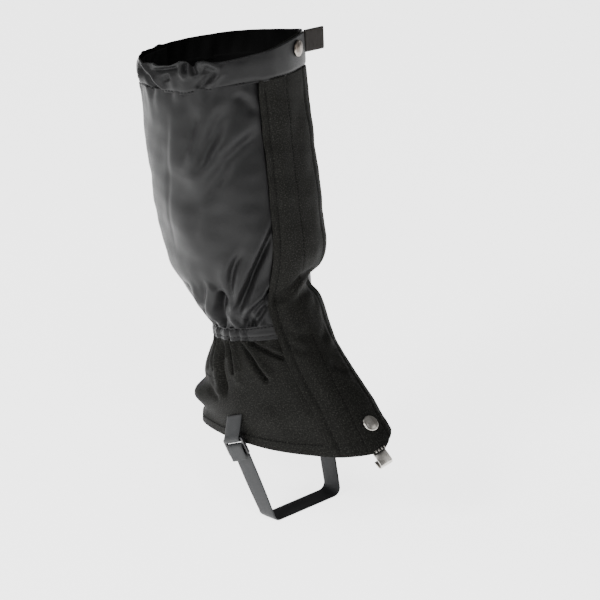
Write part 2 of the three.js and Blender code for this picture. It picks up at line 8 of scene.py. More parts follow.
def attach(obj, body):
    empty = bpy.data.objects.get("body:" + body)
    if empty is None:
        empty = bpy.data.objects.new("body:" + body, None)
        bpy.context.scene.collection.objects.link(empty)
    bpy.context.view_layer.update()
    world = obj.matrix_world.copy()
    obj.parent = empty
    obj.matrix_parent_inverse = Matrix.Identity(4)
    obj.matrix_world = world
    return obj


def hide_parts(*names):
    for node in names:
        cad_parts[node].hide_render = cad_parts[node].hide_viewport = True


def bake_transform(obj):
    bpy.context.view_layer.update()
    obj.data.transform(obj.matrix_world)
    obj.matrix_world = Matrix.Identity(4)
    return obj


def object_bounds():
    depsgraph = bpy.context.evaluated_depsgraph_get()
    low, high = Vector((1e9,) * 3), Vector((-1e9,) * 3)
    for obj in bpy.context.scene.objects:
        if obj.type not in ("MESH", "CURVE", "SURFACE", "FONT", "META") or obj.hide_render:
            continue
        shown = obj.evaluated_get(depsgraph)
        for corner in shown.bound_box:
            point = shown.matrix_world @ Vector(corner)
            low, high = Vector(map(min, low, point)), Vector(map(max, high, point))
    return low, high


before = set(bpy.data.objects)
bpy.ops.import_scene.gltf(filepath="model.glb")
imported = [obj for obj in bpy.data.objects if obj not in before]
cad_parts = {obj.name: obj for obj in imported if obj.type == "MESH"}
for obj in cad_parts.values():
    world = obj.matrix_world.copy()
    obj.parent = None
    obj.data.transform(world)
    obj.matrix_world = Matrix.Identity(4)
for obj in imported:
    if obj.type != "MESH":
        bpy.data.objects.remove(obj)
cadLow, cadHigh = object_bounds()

# Work is done in millimetres along the leg and turned into metres when a mesh is made.
mm = 0.001
print("gaiter: frame loaded")

# The leg's outline: height along its side, front point, back point and half width.
leg = {
    "places": [0, 32, 62, 91, 106, 125, 160, 220, 290, 324, 356],
    "frontY": [-106, -73, -42, -20, -8, 4, 1, 10, 23, 29, 31],
    "frontZ": [83, 115, 144, 168, 184, 206, 246, 302, 364, 396, 426],
    "backY": [112, 114, 106, 93, 90, 103, 139, 155, 162, 166, 168],
    "backZ": [62, 86, 113, 146, 162, 181, 211, 270, 337, 376, 404],
    "halfWidth": [50, 50, 47.5, 44, 44, 49, 60, 68, 72, 73, 73],
    "length": 356,
    "rimTilt": 1,
    "frontRise": 9,      # the rim's peak over the free edge of the flap
    "peakAngle": 28,
}
# Heights where one piece ends and the next begins, and the flap's two long edges.
cut = {
    "ankleLow": 95,
    "bandFoot": 97,      # lower edge of the ankle band
    "ankleHigh": 108.2,
    "bandLow": 329,
    "split": 103,
    "sewnEdge": (34, 29.5, 20),
    "freeEdge": (12, 29, 40),
    "cloth": 1.6,
    "flapInner": 5.8,
    "cornerHeight": 10,  # the cut lower corner, and where along the flap's width it starts
    "cornerStart": 0.62,
    "bandHeight": 27,
    "ankleRows": (100, 106.4),
    "backSeam": 8,       # degrees over which the folds die out beside the back seam
    "seamDip": 0.6,
}
flapRows = {"seam": 0.10, "middle": 0.42, "edge": 0.84}   # rows of stitching, as shares of the width


def curveThrough(values):
    # Smooth curve through the outline's places that never overshoots them.
    x = np.array(leg["places"], float)
    y = np.array(values, float)
    slope = np.diff(y) / np.diff(x)
    tangent = np.concatenate([slope[:1], np.zeros(len(y) - 2), slope[-1:]])
    for i in range(1, len(y) - 1):
        if slope[i - 1] * slope[i] > 0:
            tangent[i] = 2 * slope[i - 1] * slope[i] / (slope[i - 1] + slope[i])

    def read(at):
        i = np.clip(np.searchsorted(x, at, side="right") - 1, 0, len(x) - 2)
        width = x[i + 1] - x[i]
        t = (at - x[i]) / width
        inside = (y[i] * (1 + 2 * t) * (1 - t) ** 2 + width * tangent[i] * t * (1 - t) ** 2
                  + y[i + 1] * t * t * (3 - 2 * t) + width * tangent[i + 1] * t * t * (t - 1))
        above = y[-1] + tangent[-1] * (at - x[-1])
        below = y[0] + tangent[0] * at
        return np.where(at >= x[-1], above, np.where(at <= 0, below, inside))
    return read


frontY, frontZ, backY, backZ, halfWidth = (
    curveThrough(leg[key]) for key in ("frontY", "frontZ", "backY", "backZ", "halfWidth"))


def skin(angle, at):
    # A point of the leg: the angle is 0 at the front and grows towards the inner side.
    angle, at = np.broadcast_arrays(np.asarray(angle, float), np.asarray(at, float))
    lift = leg["rimTilt"] * np.clip((at - cut["ankleLow"]) / (leg["length"] - cut["ankleLow"]), 0, 1)
    across, forward = np.sin(angle), np.cos(angle)
    return np.stack([
        halfWidth(at) * across,
        (frontY(at) + backY(at)) / 2 + (frontY(at) - backY(at)) / 2 * forward,
        (frontZ(at) + backZ(at)) / 2 + (frontZ(at) - backZ(at)) / 2 * forward + lift * across,
    ], -1)


def unit(vectors):
    return vectors / np.linalg.norm(vectors, axis=-1, keepdims=True)


def directions(angle, at):
    # The directions round the leg, up it and out of it, all square to each other.
    angle, at = np.broadcast_arrays(np.asarray(angle, float), np.asarray(at, float))
    along = unit(skin(angle + 1e-3, at) - skin(angle - 1e-3, at))
    rise = unit(skin(angle, at + 1) - skin(angle, at - 1))
    out = unit(np.cross(along, rise))
    return along, np.cross(out, along), out


def smooth(value, low, high):
    # Rises gently from 0 at the low value to 1 at the high one.
    t = np.clip((value - low) / (high - low), 0, 1)
    return t * t * (3 - 2 * t)


def edgeAngle(edge, at, sign):
    # A long edge's angle, from its reach in mm at the hem, the ankle and the rim.
    low, middle, high = edge
    reach = np.where(
        at < cut["ankleLow"],
        low + (middle - low) * np.clip(at, 0, None) / cut["ankleLow"],
        middle + (high - middle) * (at - cut["ankleLow"]) / (leg["length"] - cut["ankleLow"]))
    return sign * np.arcsin(reach / halfWidth(at))


def sewnAngle(at):
    return edgeAngle(cut["sewnEdge"], at, -1)


def freeAngle(at):
    return edgeAngle(cut["freeEdge"], at, 1)


def flapAngle(share, at):
    # The share is 0 at the sewn edge and 1 at the free edge.
    return sewnAngle(at) + (freeAngle(at) - sewnAngle(at)) * share


def rimAt(angle):
    peak = np.clip(np.cos(angle - math.radians(leg["peakAngle"])), 0, None) ** 4
    return leg["length"] + leg["frontRise"] * peak


def cornerCut(share):
    return cut["cornerHeight"] * np.clip((share - cut["cornerStart"]) / (1 - cut["cornerStart"]), 0, 1)


roundScale = 66   # mm of cloth to a radian, used to measure distances along the cloth


def onCloth(angle, at):
    return np.stack(np.broadcast_arrays(np.asarray(angle, float) * roundScale, at), -1)


def fold(line, height, width, lip=0.0, lipAt=6.0, fade=0.25):
    # A crease or ridge along a line of (degrees, mm) points. The lip is a ridge beside it.
    points = onCloth(np.radians([p[0] for p in line]), np.array([p[1] for p in line], float))
    return {"points": points, "height": height, "width": width, "lip": lip, "lipAt": lipAt, "fade": fade}


def foldHeight(folds, angle, at):
    place = onCloth(angle, at)
    total = np.zeros(place.shape[:-1])
    for item in folds:
        points = item["points"]
        lengths = np.linalg.norm(np.diff(points, axis=0), axis=1)
        whole = lengths.sum()
        nearest = np.full(total.shape, 1e9)
        side = np.zeros(total.shape)
        share = np.zeros(total.shape)
        before = 0
        for start, end, length in zip(points[:-1], points[1:], lengths):
            direction = (end - start) / length
            offset = place - start
            t = np.clip(offset @ direction, 0, length)
            gap = offset - t[..., None] * direction
            distance = np.linalg.norm(gap, axis=-1)
            closer = distance < nearest
            nearest = np.where(closer, distance, nearest)
            turn = direction[0] * offset[..., 1] - direction[1] * offset[..., 0]
            side = np.where(closer, np.sign(turn), side)
            share = np.where(closer, (before + t) / whole, share)
            before += length
        fade = smooth(share, -0.02, item["fade"]) * smooth(1 - share, -0.02, item["fade"])
        total += item["height"] * np.exp(-((nearest / item["width"]) ** 2)) * fade
        lipGap = (nearest * side - item["lipAt"]) / (0.8 * abs(item["lipAt"]) + 0.01)
        total += item["lip"] * np.exp(-(lipGap ** 2)) * fade * (nearest < 40)
    return total


def limited(height, low, high):
    # Eases a height towards its limits, so that no fold ends in a flat.
    return np.where(height < 0, low * np.tanh(height / low), high * np.tanh(height / high))


def bulge(angle, at, centre, height, size):
    # A soft swelling or hollow. Centre and size are (degrees, mm).
    a = (np.degrees(angle) - centre[0]) / size[0]
    b = (at - centre[1]) / size[1]
    return height * np.exp(-(a * a + b * b))


waveCount = 7


def ripple(angle, at, seed, wavelength, height):
    # Seeded waves of about one wavelength that cross each other.
    draw = np.random.default_rng(seed)
    place = onCloth(angle, at)
    total = np.zeros(place.shape[:-1])
    for _ in range(waveCount):
        heading = draw.uniform(0, 2 * math.pi)
        length = wavelength * draw.uniform(0.7, 1.5)
        wave = 2 * math.pi / length * (math.cos(heading) * place[..., 0]
                                       + math.sin(heading) * place[..., 1])
        total += np.sin(wave + draw.uniform(0, 2 * math.pi))
    return total * height / 2.6


def bodyShape(angle, at):
    # What every layer of the front shares: the hollow at the ankle and the swelling above it.
    rise = bulge(angle, at, (22, 160), 2.5, (26, 16))
    rise += bulge(angle, at, (30, 131), -12.5, (22, 9.5))
    rise += bulge(angle, at, (24, 82), -4.5, (26, 30))
    rise += bulge(angle, at, (30, 205), 1.5, (20, 22))
    rise += bulge(angle, at, (-4, 112), 1.5, (22, 9))
    return rise


def lengthsAlong(points):
    # Distance from a path's first point to each of its points.
    steps = np.linalg.norm(np.diff(points, axis=0), axis=1)
    return np.concatenate([[0], np.cumsum(steps)])


def readAlong(distance, run, values):
    # A path's places or directions at a distance along it.
    return np.stack([np.interp(distance, run, values[:, k]) for k in range(3)], -1)


def shown(name, data):
    # Puts a mesh, a lamp or a camera in the scene.
    made = bpy.data.objects.new(name, data)
    bpy.context.scene.collection.objects.link(made)
    return made


def ringFaces(rings, sides):
    # Joins each ring of points to the next.
    return [(ring * sides + k, ring * sides + (k + 1) % sides,
             (ring + 1) * sides + (k + 1) % sides, (ring + 1) * sides + k)
            for ring in range(rings - 1) for k in range(sides)]


def clothMesh(name, outer, inner, coordinates, finishes, crisp=None):
    # A sheet with two faces and its edges closed. The second finish is the lining.
    rows, columns = outer.shape[:2]
    count = rows * columns
    index = np.arange(count).reshape(rows, columns)
    a, b, c, d = index[:-1, :-1], index[:-1, 1:], index[1:, 1:], index[1:, :-1]
    face = np.stack([a, b, c, d], -1).reshape(-1, 4)
    low, high = index[0], index[-1]
    left, right = index[:, 0], index[:, -1]

    def wall(first, second, third, fourth):
        return np.stack([first, second, third, fourth], -1)

    walls = np.concatenate([
        wall(low[:-1] + count, low[1:] + count, low[1:], low[:-1]),
        wall(high[:-1], high[1:], high[1:] + count, high[:-1] + count),
        wall(left[:-1] + count, left[:-1], left[1:], left[1:] + count),
        wall(right[:-1], right[:-1] + count, right[1:] + count, right[1:]),
    ])
    faces = np.concatenate([face, face[:, ::-1] + count, walls])
    points = np.concatenate([outer.reshape(-1, 3), inner.reshape(-1, 3)]) * mm
    mesh = bpy.data.meshes.new(name)
    mesh.from_pydata(points.tolist(), [], faces.tolist())
    for finish in finishes:
        mesh.materials.append(finish)
    lining = np.zeros(len(faces), np.int32)
    lining[len(face):2 * len(face)] = len(finishes) - 1
    mesh.polygons.foreach_set("material_index", lining)
    mesh.polygons.foreach_set("use_smooth", np.ones(len(faces), bool))
    place = mesh.attributes.new("clothPlace", "FLOAT_VECTOR", "POINT")
    flat = np.concatenate([coordinates.reshape(-1, 3)] * 2) * mm
    place.data.foreach_set("vector", flat.astype(np.float32).ravel())
    if crisp is not None:
        # The end that butts against another piece keeps its own normals.
        edges = np.zeros(len(mesh.edges) * 2, np.int32)
        mesh.edges.foreach_get("vertices", edges)
        row = index[crisp]
        onRow = np.isin(edges, np.concatenate([row, row + count])).reshape(-1, 2).all(1)
        sharp = mesh.attributes.new("sharp_edge", "BOOLEAN", "EDGE")
        sharp.data.foreach_set("value", onRow)
    mesh.update()
    return shown(name, mesh)


def cellsOf(spec):
    # Even steps, closer together by the borders so that the edges can be rounded.
    def steps(count):
        inside = np.linspace(0, 1, count + 1)
        return np.concatenate([[0, 0.25 / count], inside[1:-1], [1 - 0.25 / count, 1]])
    return np.meshgrid(steps(spec["cells"][0]), steps(spec["cells"][1]))


def surfaceOf(spec, angle, at):
    # Outer face of a piece of cloth, folds and all.
    rise = spec["offset"](angle, at) + bodyShape(angle, at) + spec["relief"](angle, at)
    out = directions(angle, at)[2]
    return skin(angle, at) + out * rise[..., None], out


def makeCloth(spec):
    u, v = cellsOf(spec)
    angle, at = spec["place"](u, v)
    outer, out = surfaceOf(spec, angle, at)
    thick = np.full(u.shape, spec["thickness"])
    edge = np.ones(u.shape)
    edge[0, :] = edge[-1, :] = edge[:, 0] = edge[:, -1] = 0
    crisp = spec.get("crisp")
    if crisp is not None:
        edge[crisp, 1:-1] = 1
    squeeze = 0.32 * thick * (1 - edge)
    inner = outer - out * (thick - squeeze)[..., None]
    outer = outer - out * squeeze[..., None]
    coordinates = np.concatenate([onCloth(angle, at), np.zeros(u.shape + (1,))], -1)
    made = clothMesh(spec["name"], outer, inner, coordinates, spec["finishes"], crisp)
    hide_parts(*spec["replaces"])
    smoothPoints = skin(angle, at)
    widths = np.linalg.norm(np.diff(smoothPoints, axis=1), axis=-1)
    heights = np.linalg.norm(np.diff(smoothPoints, axis=0), axis=-1)
    flatArea = (widths[:-1] * heights[:, :-1]).sum() * mm * mm
    flatWidth = widths.sum(1).max() * mm * spec["fullness"]
    flatLength = heights.sum(0).max() * mm
    flatArea = min(flatArea * spec["fullness"], flatWidth * flatLength)
    print(f"gaiter: {spec['name']}, cut {flatWidth * 1000:.0f} by {flatLength * 1000:.0f} mm,"
          f" {len(made.data.polygons)} faces")
    return made


class Channel:
    # A shader socket that can be used in sums, so that maths reads as maths.
    def __init__(self, finish, socket):
        self.finish = finish
        self.socket = socket

    def math(self, operation, *others):
        values = dict(enumerate((self, *others)))
        return self.finish.add("ShaderNodeMath", {"operation": operation}, values)

    def __add__(self, other):
        return self.math("ADD", other)

    def __sub__(self, other):
        return self.math("SUBTRACT", other)

    def __mul__(self, other):
        return self.math("MULTIPLY", other)

    def __rsub__(self, other):
        return self.finish.add("ShaderNodeMath", {"operation": "SUBTRACT"}, {0: other, 1: self})

    __radd__ = __add__
    __rmul__ = __mul__

    def clamped(self):
        return self.finish.add("ShaderNodeClamp", {}, {0: self})


class Finish:
    def __init__(self, name):
        self.material = bpy.data.materials.new(name)
        self.material.use_nodes = True
        self.tree = self.material.node_tree
        self.tree.nodes.clear()

    def add(self, kind, settings, values, output=0):
        node = self.tree.nodes.new(kind)
        for key, setting in settings.items():
            setattr(node, key, setting)
        for key, value in values.items():
            if isinstance(value, Channel):
                self.tree.links.new(value.socket, node.inputs[key])
            else:
                node.inputs[key].default_value = value
        return Channel(self, node.outputs[output]) if node.outputs else None

    def mix(self, factor, first, second):
        # Between two colours, given as three numbers or as channels.
        def colour(value):
            return value if isinstance(value, Channel) else (*value, 1)
        return self.add("ShaderNodeMix", {"data_type": "RGBA"},
                        {0: factor, 6: colour(first), 7: colour(second)}, 2)

    def noise(self, place, scale, detail=2.0, roughness=0.5):
        return self.add("ShaderNodeTexNoise", {},
                        {"Vector": place, "Scale": scale, "Detail": detail, "Roughness": roughness})

    def place(self, attribute=None):
        if attribute is None:
            return self.add("ShaderNodeTexCoord", {}, {}, "Object")
        return self.add("ShaderNodeAttribute", {"attribute_name": attribute}, {}, "Vector")

    def parts(self, vector):
        return [self.add("ShaderNodeSeparateXYZ", {}, {0: vector}, axis) for axis in "XYZ"]

    def finishOff(self, colour, roughness, height=None, distance=0.0002, strength=0.6, **fixed):
        values = {"Base Color": colour if isinstance(colour, Channel) else (*colour, 1),
                  "Roughness": roughness}
        for key, value in fixed.items():
            values[key.replace("_", " ")] = value
        if height is not None:
            values["Normal"] = self.add("ShaderNodeBump", {}, {
                "Height": height, "Distance": distance, "Strength": strength})
        shader = self.add("ShaderNodeBsdfPrincipled", {}, values)
        self.add("ShaderNodeOutputMaterial", {}, {"Surface": shader})
        return self.material


def wovenFinish(name, weave):
    # Plain weave: two sets of uneven yarns that pass over each other, with paler specks.
    finish = Finish(name)
    place = finish.place("clothPlace")
    x, y, _ = finish.parts(place)
    turn = 2 * math.pi / (2 * weave["yarn"] * mm)
    uneven = finish.noise(place, 90 / weave["yarn"] * 0.6, 1.0)
    across = (x * turn + uneven * weave["slub"]).math("SINE")
    upward = (y * turn + uneven * weave["slub"]).math("SINE")
    over = (across * upward) * 0.5 + 0.5
    ribs = across.math("ABSOLUTE").math("MAXIMUM", upward.math("ABSOLUTE"))
    height = over * 0.6 + ribs * 0.4
    broad = finish.noise(place, 22.0, 3.0)
    speck = finish.noise(place, 700 / weave["yarn"], 2.0, 0.7)
    light = ((speck - 0.5) * 3.0).clamped()
    tone = finish.mix((height * 0.55 + broad * 0.45).clamped(), weave["dark"], weave["light"])
    shade = finish.mix(light * weave["specks"], tone, weave["speck"])
    rough = weave["roughness"] + (broad - 0.5) * 0.12
    return finish.finishOff(shade, rough, height + speck * 0.5, weave["depth"] * mm, 0.7,
                            Specular_IOR_Level=weave["gloss"])


def liningFinish(name, colour):
    # The coated inside of the cloth. The colour given to it is partly the coating's own and partly painted
    # shade.
    finish = Finish(name)
    place = finish.place("clothPlace")
    grain = finish.noise(place, 900.0, 2.0)
    broad = finish.noise(place, 30.0, 2.0)
    shade = finish.mix(broad, colour, tuple(value * 1.5 for value in colour))
    return finish.finishOff(shade, 0.75 + (broad - 0.5) * 0.1, grain, 0.0001, 0.3,
                            Specular_IOR_Level=0.08)


def ribFinish(name, pitch, colours, roughness, depth, gloss):
    # Narrow webbing: ribs across its length with a finer twill between them.
    finish = Finish(name)
    place = finish.place("clothPlace")
    across, along, _ = finish.parts(place)
    turn = 2 * math.pi / (pitch * mm)
    rib = (along * turn + (across * turn * 0.7).math("SINE") * 0.5).math("SINE") * 0.5 + 0.5
    twill = ((across + along * 0.5) * (turn * 1.9)).math("SINE") * 0.5 + 0.5
    speck = finish.noise(place, 1400.0, 2.0, 0.7)
    broad = finish.noise(place, 60.0, 2.0)
    height = rib * 0.7 + twill * 0.3
    shade = finish.mix((height * 0.6 + broad * 0.4).clamped(), colours[0], colours[1])
    return finish.finishOff(shade, roughness + (speck - 0.5) * 0.15, height + speck * 0.3,
                            depth * mm, 0.7, Specular_IOR_Level=gloss)


def metalFinish(name, colours, roughness, scale=180.0):
    # Plated metal: faint clouding between a darker and a paler tone, and fine scratches.
    finish = Finish(name)
    place = finish.place()
    cloud = finish.noise(place, scale, 3.0)
    scratch = finish.noise(place, scale * 14, 2.0, 0.8)
    worn = ((cloud - 0.45) * 3.0).clamped()
    shade = finish.mix(worn, colours[0], colours[1])
    rough = roughness + cloud * 0.12 + scratch * 0.05
    return finish.finishOff(shade, rough, scratch, 0.00004, 0.25, Metallic=1.0)


def plasticFinish(name, colour, roughness, gloss=0.5):
    # Moulded plastic with a fine grain, and thread.
    finish = Finish(name)
    place = finish.place()
    grain = finish.noise(place, 2600.0, 2.0)
    cloud = finish.noise(place, 90.0, 2.0)
    shade = finish.mix(cloud, colour, tuple(value * 1.6 for value in colour))
    return finish.finishOff(shade, roughness + (cloud - 0.5) * 0.12, grain, 0.00005, 0.5,
                            Specular_IOR_Level=gloss)


def pileFinish(name, colour):
    # The fuzz of hook and loop tape.
    finish = Finish(name)
    place = finish.place("clothPlace")
    fuzz = finish.noise(place, 2200.0, 3.0, 0.8)
    shade = finish.mix(fuzz, colour, tuple(value * 2.5 for value in colour))
    return finish.finishOff(shade, 0.9 + (fuzz - 0.5) * 0.1, fuzz, 0.0006, 0.9,
                            Specular_IOR_Level=0.1)


# Lengths of a weave are in millimetres, colours are linear.
smoothNylon = wovenFinish("smoothNylon", {
    "yarn": 0.42, "slub": 0.3, "depth": 0.10,
    "dark": (0.0050, 0.0050, 0.0052), "light": (0.0085, 0.0085, 0.0087),
    "speck": (0.016, 0.016, 0.0165), "specks": 0.4,
    "roughness": 0.42, "gloss": 0.17,
})
coarseNylon = wovenFinish("coarseNylon", {
    "yarn": 0.78, "slub": 0.8, "depth": 0.28,
    "dark": (0.0010, 0.0010, 0.0008), "light": (0.0070, 0.0070, 0.0060),
    "speck": (0.040, 0.040, 0.036), "specks": 0.9,
    "roughness": 0.72, "gloss": 0.08,
})
# Darker than the coating itself: painted shade for the shadowed inside of the gaiter.
lining = liningFinish("liningClothAndShade", (0.0018, 0.0018, 0.0018))
webbing = ribFinish("tabWebbing", 1.7, [(0.006, 0.005, 0.0045), (0.026, 0.023, 0.021)], 0.7, 0.35, 0.15)
strapWeb = ribFinish("strapRubberCloth", 1.1, [(0.010, 0.0105, 0.011), (0.022, 0.023, 0.0245)],
                     0.55, 0.12, 0.25)
elasticCloth = ribFinish("elasticTape", 1.3, [(0.003, 0.003, 0.003), (0.008, 0.008, 0.008)], 0.8, 0.2, 0.1)
pile = pileFinish("touchTapePile", (0.003, 0.003, 0.003))
blackPlastic = plasticFinish("blackPlastic", (0.005, 0.005, 0.0055), 0.38)
# The upper cap's nickel is darker than the lower cap's: partly an antique finish, partly painted shade for
# the dark surroundings that it reflects.
capNickel = metalFinish("antiqueNickelAndShade", [(0.12, 0.10, 0.085), (0.34, 0.31, 0.28)], 0.26)
brightNickel = metalFinish("brightNickel", [(0.42, 0.40, 0.37), (0.74, 0.72, 0.68)], 0.2)
thread = plasticFinish("sewingThread", (0.0012, 0.0012, 0.0012), 0.8, 0.06)
paleThread = plasticFinish("paleThread", (0.009, 0.009, 0.0085), 0.8, 0.1)
print("gaiter: finishes made")


def fromBackSeam(angle):
    # 0 at the back seam and 1 away from it.
    return smooth(180 - np.abs(np.degrees(angle)), 0, cut["backSeam"])


def gatheredShare(angle):
    # The rim is gathered at the side and the back, and flat across the front.
    degrees = np.degrees(angle)
    flatFront = smooth(degrees, -60, -38) * (1 - smooth(degrees, 60, 90))
    return (1 - flatFront) * fromBackSeam(angle)


def bandPucker(angle, at):
    # The small gathers over the rim's elastic.
    up = np.clip((at - cut["bandLow"]) / cut["bandHeight"], 0, 1)
    wave = np.sin(angle * 9 + 0.6) + 0.7 * np.sin(angle * 16 + 2.1) + 0.6 * np.sin(angle * 31 + 1.2 + up)
    return gatheredShare(angle) * wave * (0.35 + 0.8 * np.sin(math.pi * up))


def ruffle(angle):
    # How far the gathered cloth stands up over the elastic at the rim.
    degrees = np.degrees(angle)
    near = gatheredShare(angle) * (1.0 + 0.8 * np.sin(angle * 14 + 0.5) + 0.35 * np.sin(angle * 33))
    loop = 3.2 * np.exp(-(((degrees + 69) / 5) ** 2)) + 3.0 * np.exp(-(((degrees + 56) / 5) ** 2))
    notch = -4.5 * np.exp(-(((degrees + 62.3) / 1.7) ** 2))
    return near + loop + notch


bandFolds = [
    fold([(-97, 351), (-88, 351.5), (-80, 353), (-72, 354.5)], -3.4, 2.2, 1.8, 4.5, 0.12),
    fold([(-112, 357), (-100, 347), (-92, 339), (-84, 331)], 3.0, 2.4, -2.2, -5, 0.08),
    fold([(-106, 347), (-99, 339), (-94, 332)], -2.6, 2.6),
    fold([(-84, 347), (-82, 341)], -2.8, 3.6, 0, 6, 0.1),
    fold([(-78, 350), (-77, 340), (-75.5, 330)], 1.8, 3.4),
    fold([(-70.5, 356), (-70, 349), (-67.5, 344), (-64.5, 347), (-65, 357)], 2.6, 1.7, 0, 6, 0.05),
    fold([(-67.6, 358), (-67.4, 350)], -4.6, 1.7, 0, 6, 0.05),
    fold([(-62, 360), (-62, 353), (-60, 346)], -4.4, 2.0, 0, 6, 0.1),
    fold([(-59, 358), (-50, 356.5), (-43.5, 351), (-43, 344), (-47.5, 338), (-52, 334)], 2.8, 2.6, 0, 6, 0.1),
    fold([(-55, 351), (-49, 347), (-53, 340), (-60, 333)], -3.0, 3.4, 0, 6, 0.1),
    fold([(-40, 357), (-32, 357.5), (-23, 356)], -0.8, 4.0),
    fold([(-34, 349), (-20, 350), (0, 352)], 0.5, 7.0),
    fold([(-38, 334), (-26, 333.5), (-14, 333)], -0.7, 2.4),
    fold([(-128, 352), (-122, 344), (-118, 334)], -3.0, 2.8, 1.4, 5),
    fold([(-146, 352), (-142, 342), (-140, 334)], -2.8, 2.8, 1.4, 5),
    fold([(-164, 354), (-160, 344), (-158, 334)], -2.6, 2.8, 1.2, -5),
]


def seamAt(angle):
    # The band's lower seam wanders a little where the cloth is gathered into it.
    degrees = np.degrees(angle)
    wander = 3.5 * np.exp(-(((degrees + 110) / 9) ** 2)) - 2.0 * np.exp(-(((degrees + 69) / 7) ** 2))
    return cut["bandLow"] + wander + 1.6 * smooth(degrees, -50, -30) * (1 - smooth(degrees, 50, 70))


def bandOffset(angle, at):
    # Puffed between its rows of stitching, and level with the flap across the front.
    up = np.clip((at - cut["bandLow"]) / (rimAt(angle) - cut["bandLow"]), 0, 1)
    puff = np.sin(math.pi * up) ** 0.6
    overFlap = smooth(np.degrees(angle), -24, -4) * (1 - smooth(np.degrees(angle), 40, 60))
    gathered = 2.2 + 1.0 * puff
    flat = 7.0 + 0.4 * puff
    return gathered + (flat - gathered) * overFlap


def bandRelief(angle, at):
    # The gathers and folds of the rim band, tucked in along its lower row of stitching.
    row = -0.8 * np.exp(-(((at - seamAt(angle) - 2.0) / 1.3) ** 2))
    tucked = limited(foldHeight(bandFolds, angle, at), -7, 4.5)
    return 0.6 * bandPucker(angle, at) + tucked + row + ripple(angle, at, 11, 26, 0.2)


def innerBandOffset(angle, at):
    up = np.clip((at - cut["bandLow"]) / (rimAt(angle) - cut["bandLow"]), 0, 1)
    return 3.0 + 1.4 * np.sin(math.pi * up) ** 0.6


upperFolds = [
    fold([(-12, 292), (-28, 278), (-45, 262), (-60, 240), (-70, 218)], -5.2, 7.5, 3.4, -12, 0.3),
    fold([(-36, 318), (-48, 300), (-60, 276), (-70, 248)], -4.2, 6.5, 2.6, -10, 0.3),
    fold([(-61, 317), (-70, 290), (-80, 259)], -3.0, 7, 1.2, 10),
    fold([(-76, 321), (-84, 290), (-93, 252)], 1.8, 7),
    fold([(-34, 325), (-26, 314), (-21, 300)], -2.0, 5, 1.0, 6),
    fold([(-83, 324), (-86, 303), (-100, 225), (-110, 168)], -0.5, 3.0),
    fold([(-70, 240), (-78, 205), (-84, 180)], -1.4, 7, 0.6, 9),
    fold([(-86, 149), (-94, 139), (-104, 128), (-124, 114)], -2.6, 2.8, 1.6, 4.5),
    fold([(-19, 198), (-27.5, 178), (-38, 158), (-49, 141), (-61, 127), (-77, 111)],
         -8.0, 3.6, 3.2, -7.5, 0.35),
    fold([(-46, 176), (-55.5, 163), (-60, 154), (-65, 142), (-68, 128)], -4.4, 3.4, 1.8, -7, 0.4),
    fold([(-74, 138), (-84, 127), (-93.5, 118), (-103, 108)], -10.0, 3.9, 3.2, -7.5, 0.12),
    fold([(-35, 123), (-50.5, 115), (-66, 108)], -5.2, 2.2, 2.2, -4.5, 0.12),
    fold([(-26, 139), (-36, 129), (-51.5, 120), (-74, 108)], -5.0, 2.4, 2.4, -5, 0.12),
    fold([(-68, 131), (-74, 121), (-84, 109)], 2.2, 3.2),
    fold([(-100, 147), (-112, 130), (-125, 111)], 2.4, 4.5),
    fold([(-112, 148), (-122, 130), (-132, 109)], -4.2, 3.4, 1.8, 6),
    fold([(-134, 150), (-142, 130), (-148, 109)], -3.6, 4, 1.8, 7),
    fold([(-152, 170), (-160, 140), (-166, 111)], -3.2, 5, 1.8, -8),
]


def upperRelief(angle, at):
    # Tight and nearly smooth up the calf, gathered just above the ankle band.
    degrees = np.degrees(angle)
    over = np.exp(-np.clip(at - cut["ankleHigh"], 0, None) / 20)
    side = smooth(-degrees, 20, 50) + smooth(degrees, 40, 70)
    pleats = (np.sin(angle * 15 + at * 0.03) + 0.7 * np.sin(angle * 26 + 1.0)) * 1.0 * over
    blouse = 2.6 * np.exp(-(((at - 126) / 13) ** 2)) + 0.6 * np.exp(-(((at - 108) / 5) ** 2))
    under = 0.9 * np.exp(-np.clip(cut["bandLow"] - at, 0, None) / 9)
    gathers = under * (np.sin(angle * 23 + 0.4) + 0.5 * np.sin(angle * 37)) * smooth(-degrees, 40, 62)
    seam = fromBackSeam(angle)
    folds = limited(foldHeight(upperFolds, angle, at), -15, 7)
    waves = ripple(angle, at, 3, 62, 1.0) + ripple(angle, at, 5, 24, 0.22)
    return seam * (folds + waves + side * (pleats + blouse) + gathers) - cut["seamDip"] * (1 - seam)


lowerFolds = [
    fold([(-112, 97), (-108, 70), (-102, 42)], -8.0, 3.6, 2.8, -7.5, 0.3),
    fold([(-98, 97), (-94, 80), (-92, 66)], -6.0, 2.2, 2.6, 4.6, 0.1),
    fold([(-84, 97), (-74, 82), (-63, 60)], -6.4, 2.6, 3.0, 5.4, 0.1),
    fold([(-73, 97), (-58, 88), (-43, 80)], -5.0, 2.0, 2.2, 4.4, 0.1),
    fold([(-124, 97), (-122, 80), (-118, 66)], -5.0, 2.4, 2.0, 4.6, 0.1),
    fold([(-104, 97), (-102, 88), (-100, 80)], 2.4, 2.4, 0, 6, 0.1),
    fold([(-143, 91), (-137, 78), (-130, 62)], -2.6, 4.5, 1.4, 7),
    fold([(-96, 92), (-92, 70), (-84, 52)], 1.6, 5),
    fold([(-52, 60), (-46, 40), (-44, 22)], 0.8, 7),
    fold([(-70, 52), (-64, 34), (-62, 12)], -1.0, 7),
    fold([(-128, 50), (-118, 44), (-108, 40)], -2.0, 4, 1.0, 5),
    fold([(-160, 90), (-156, 60), (-150, 44)], -2.4, 5, 1.5, 8),
]


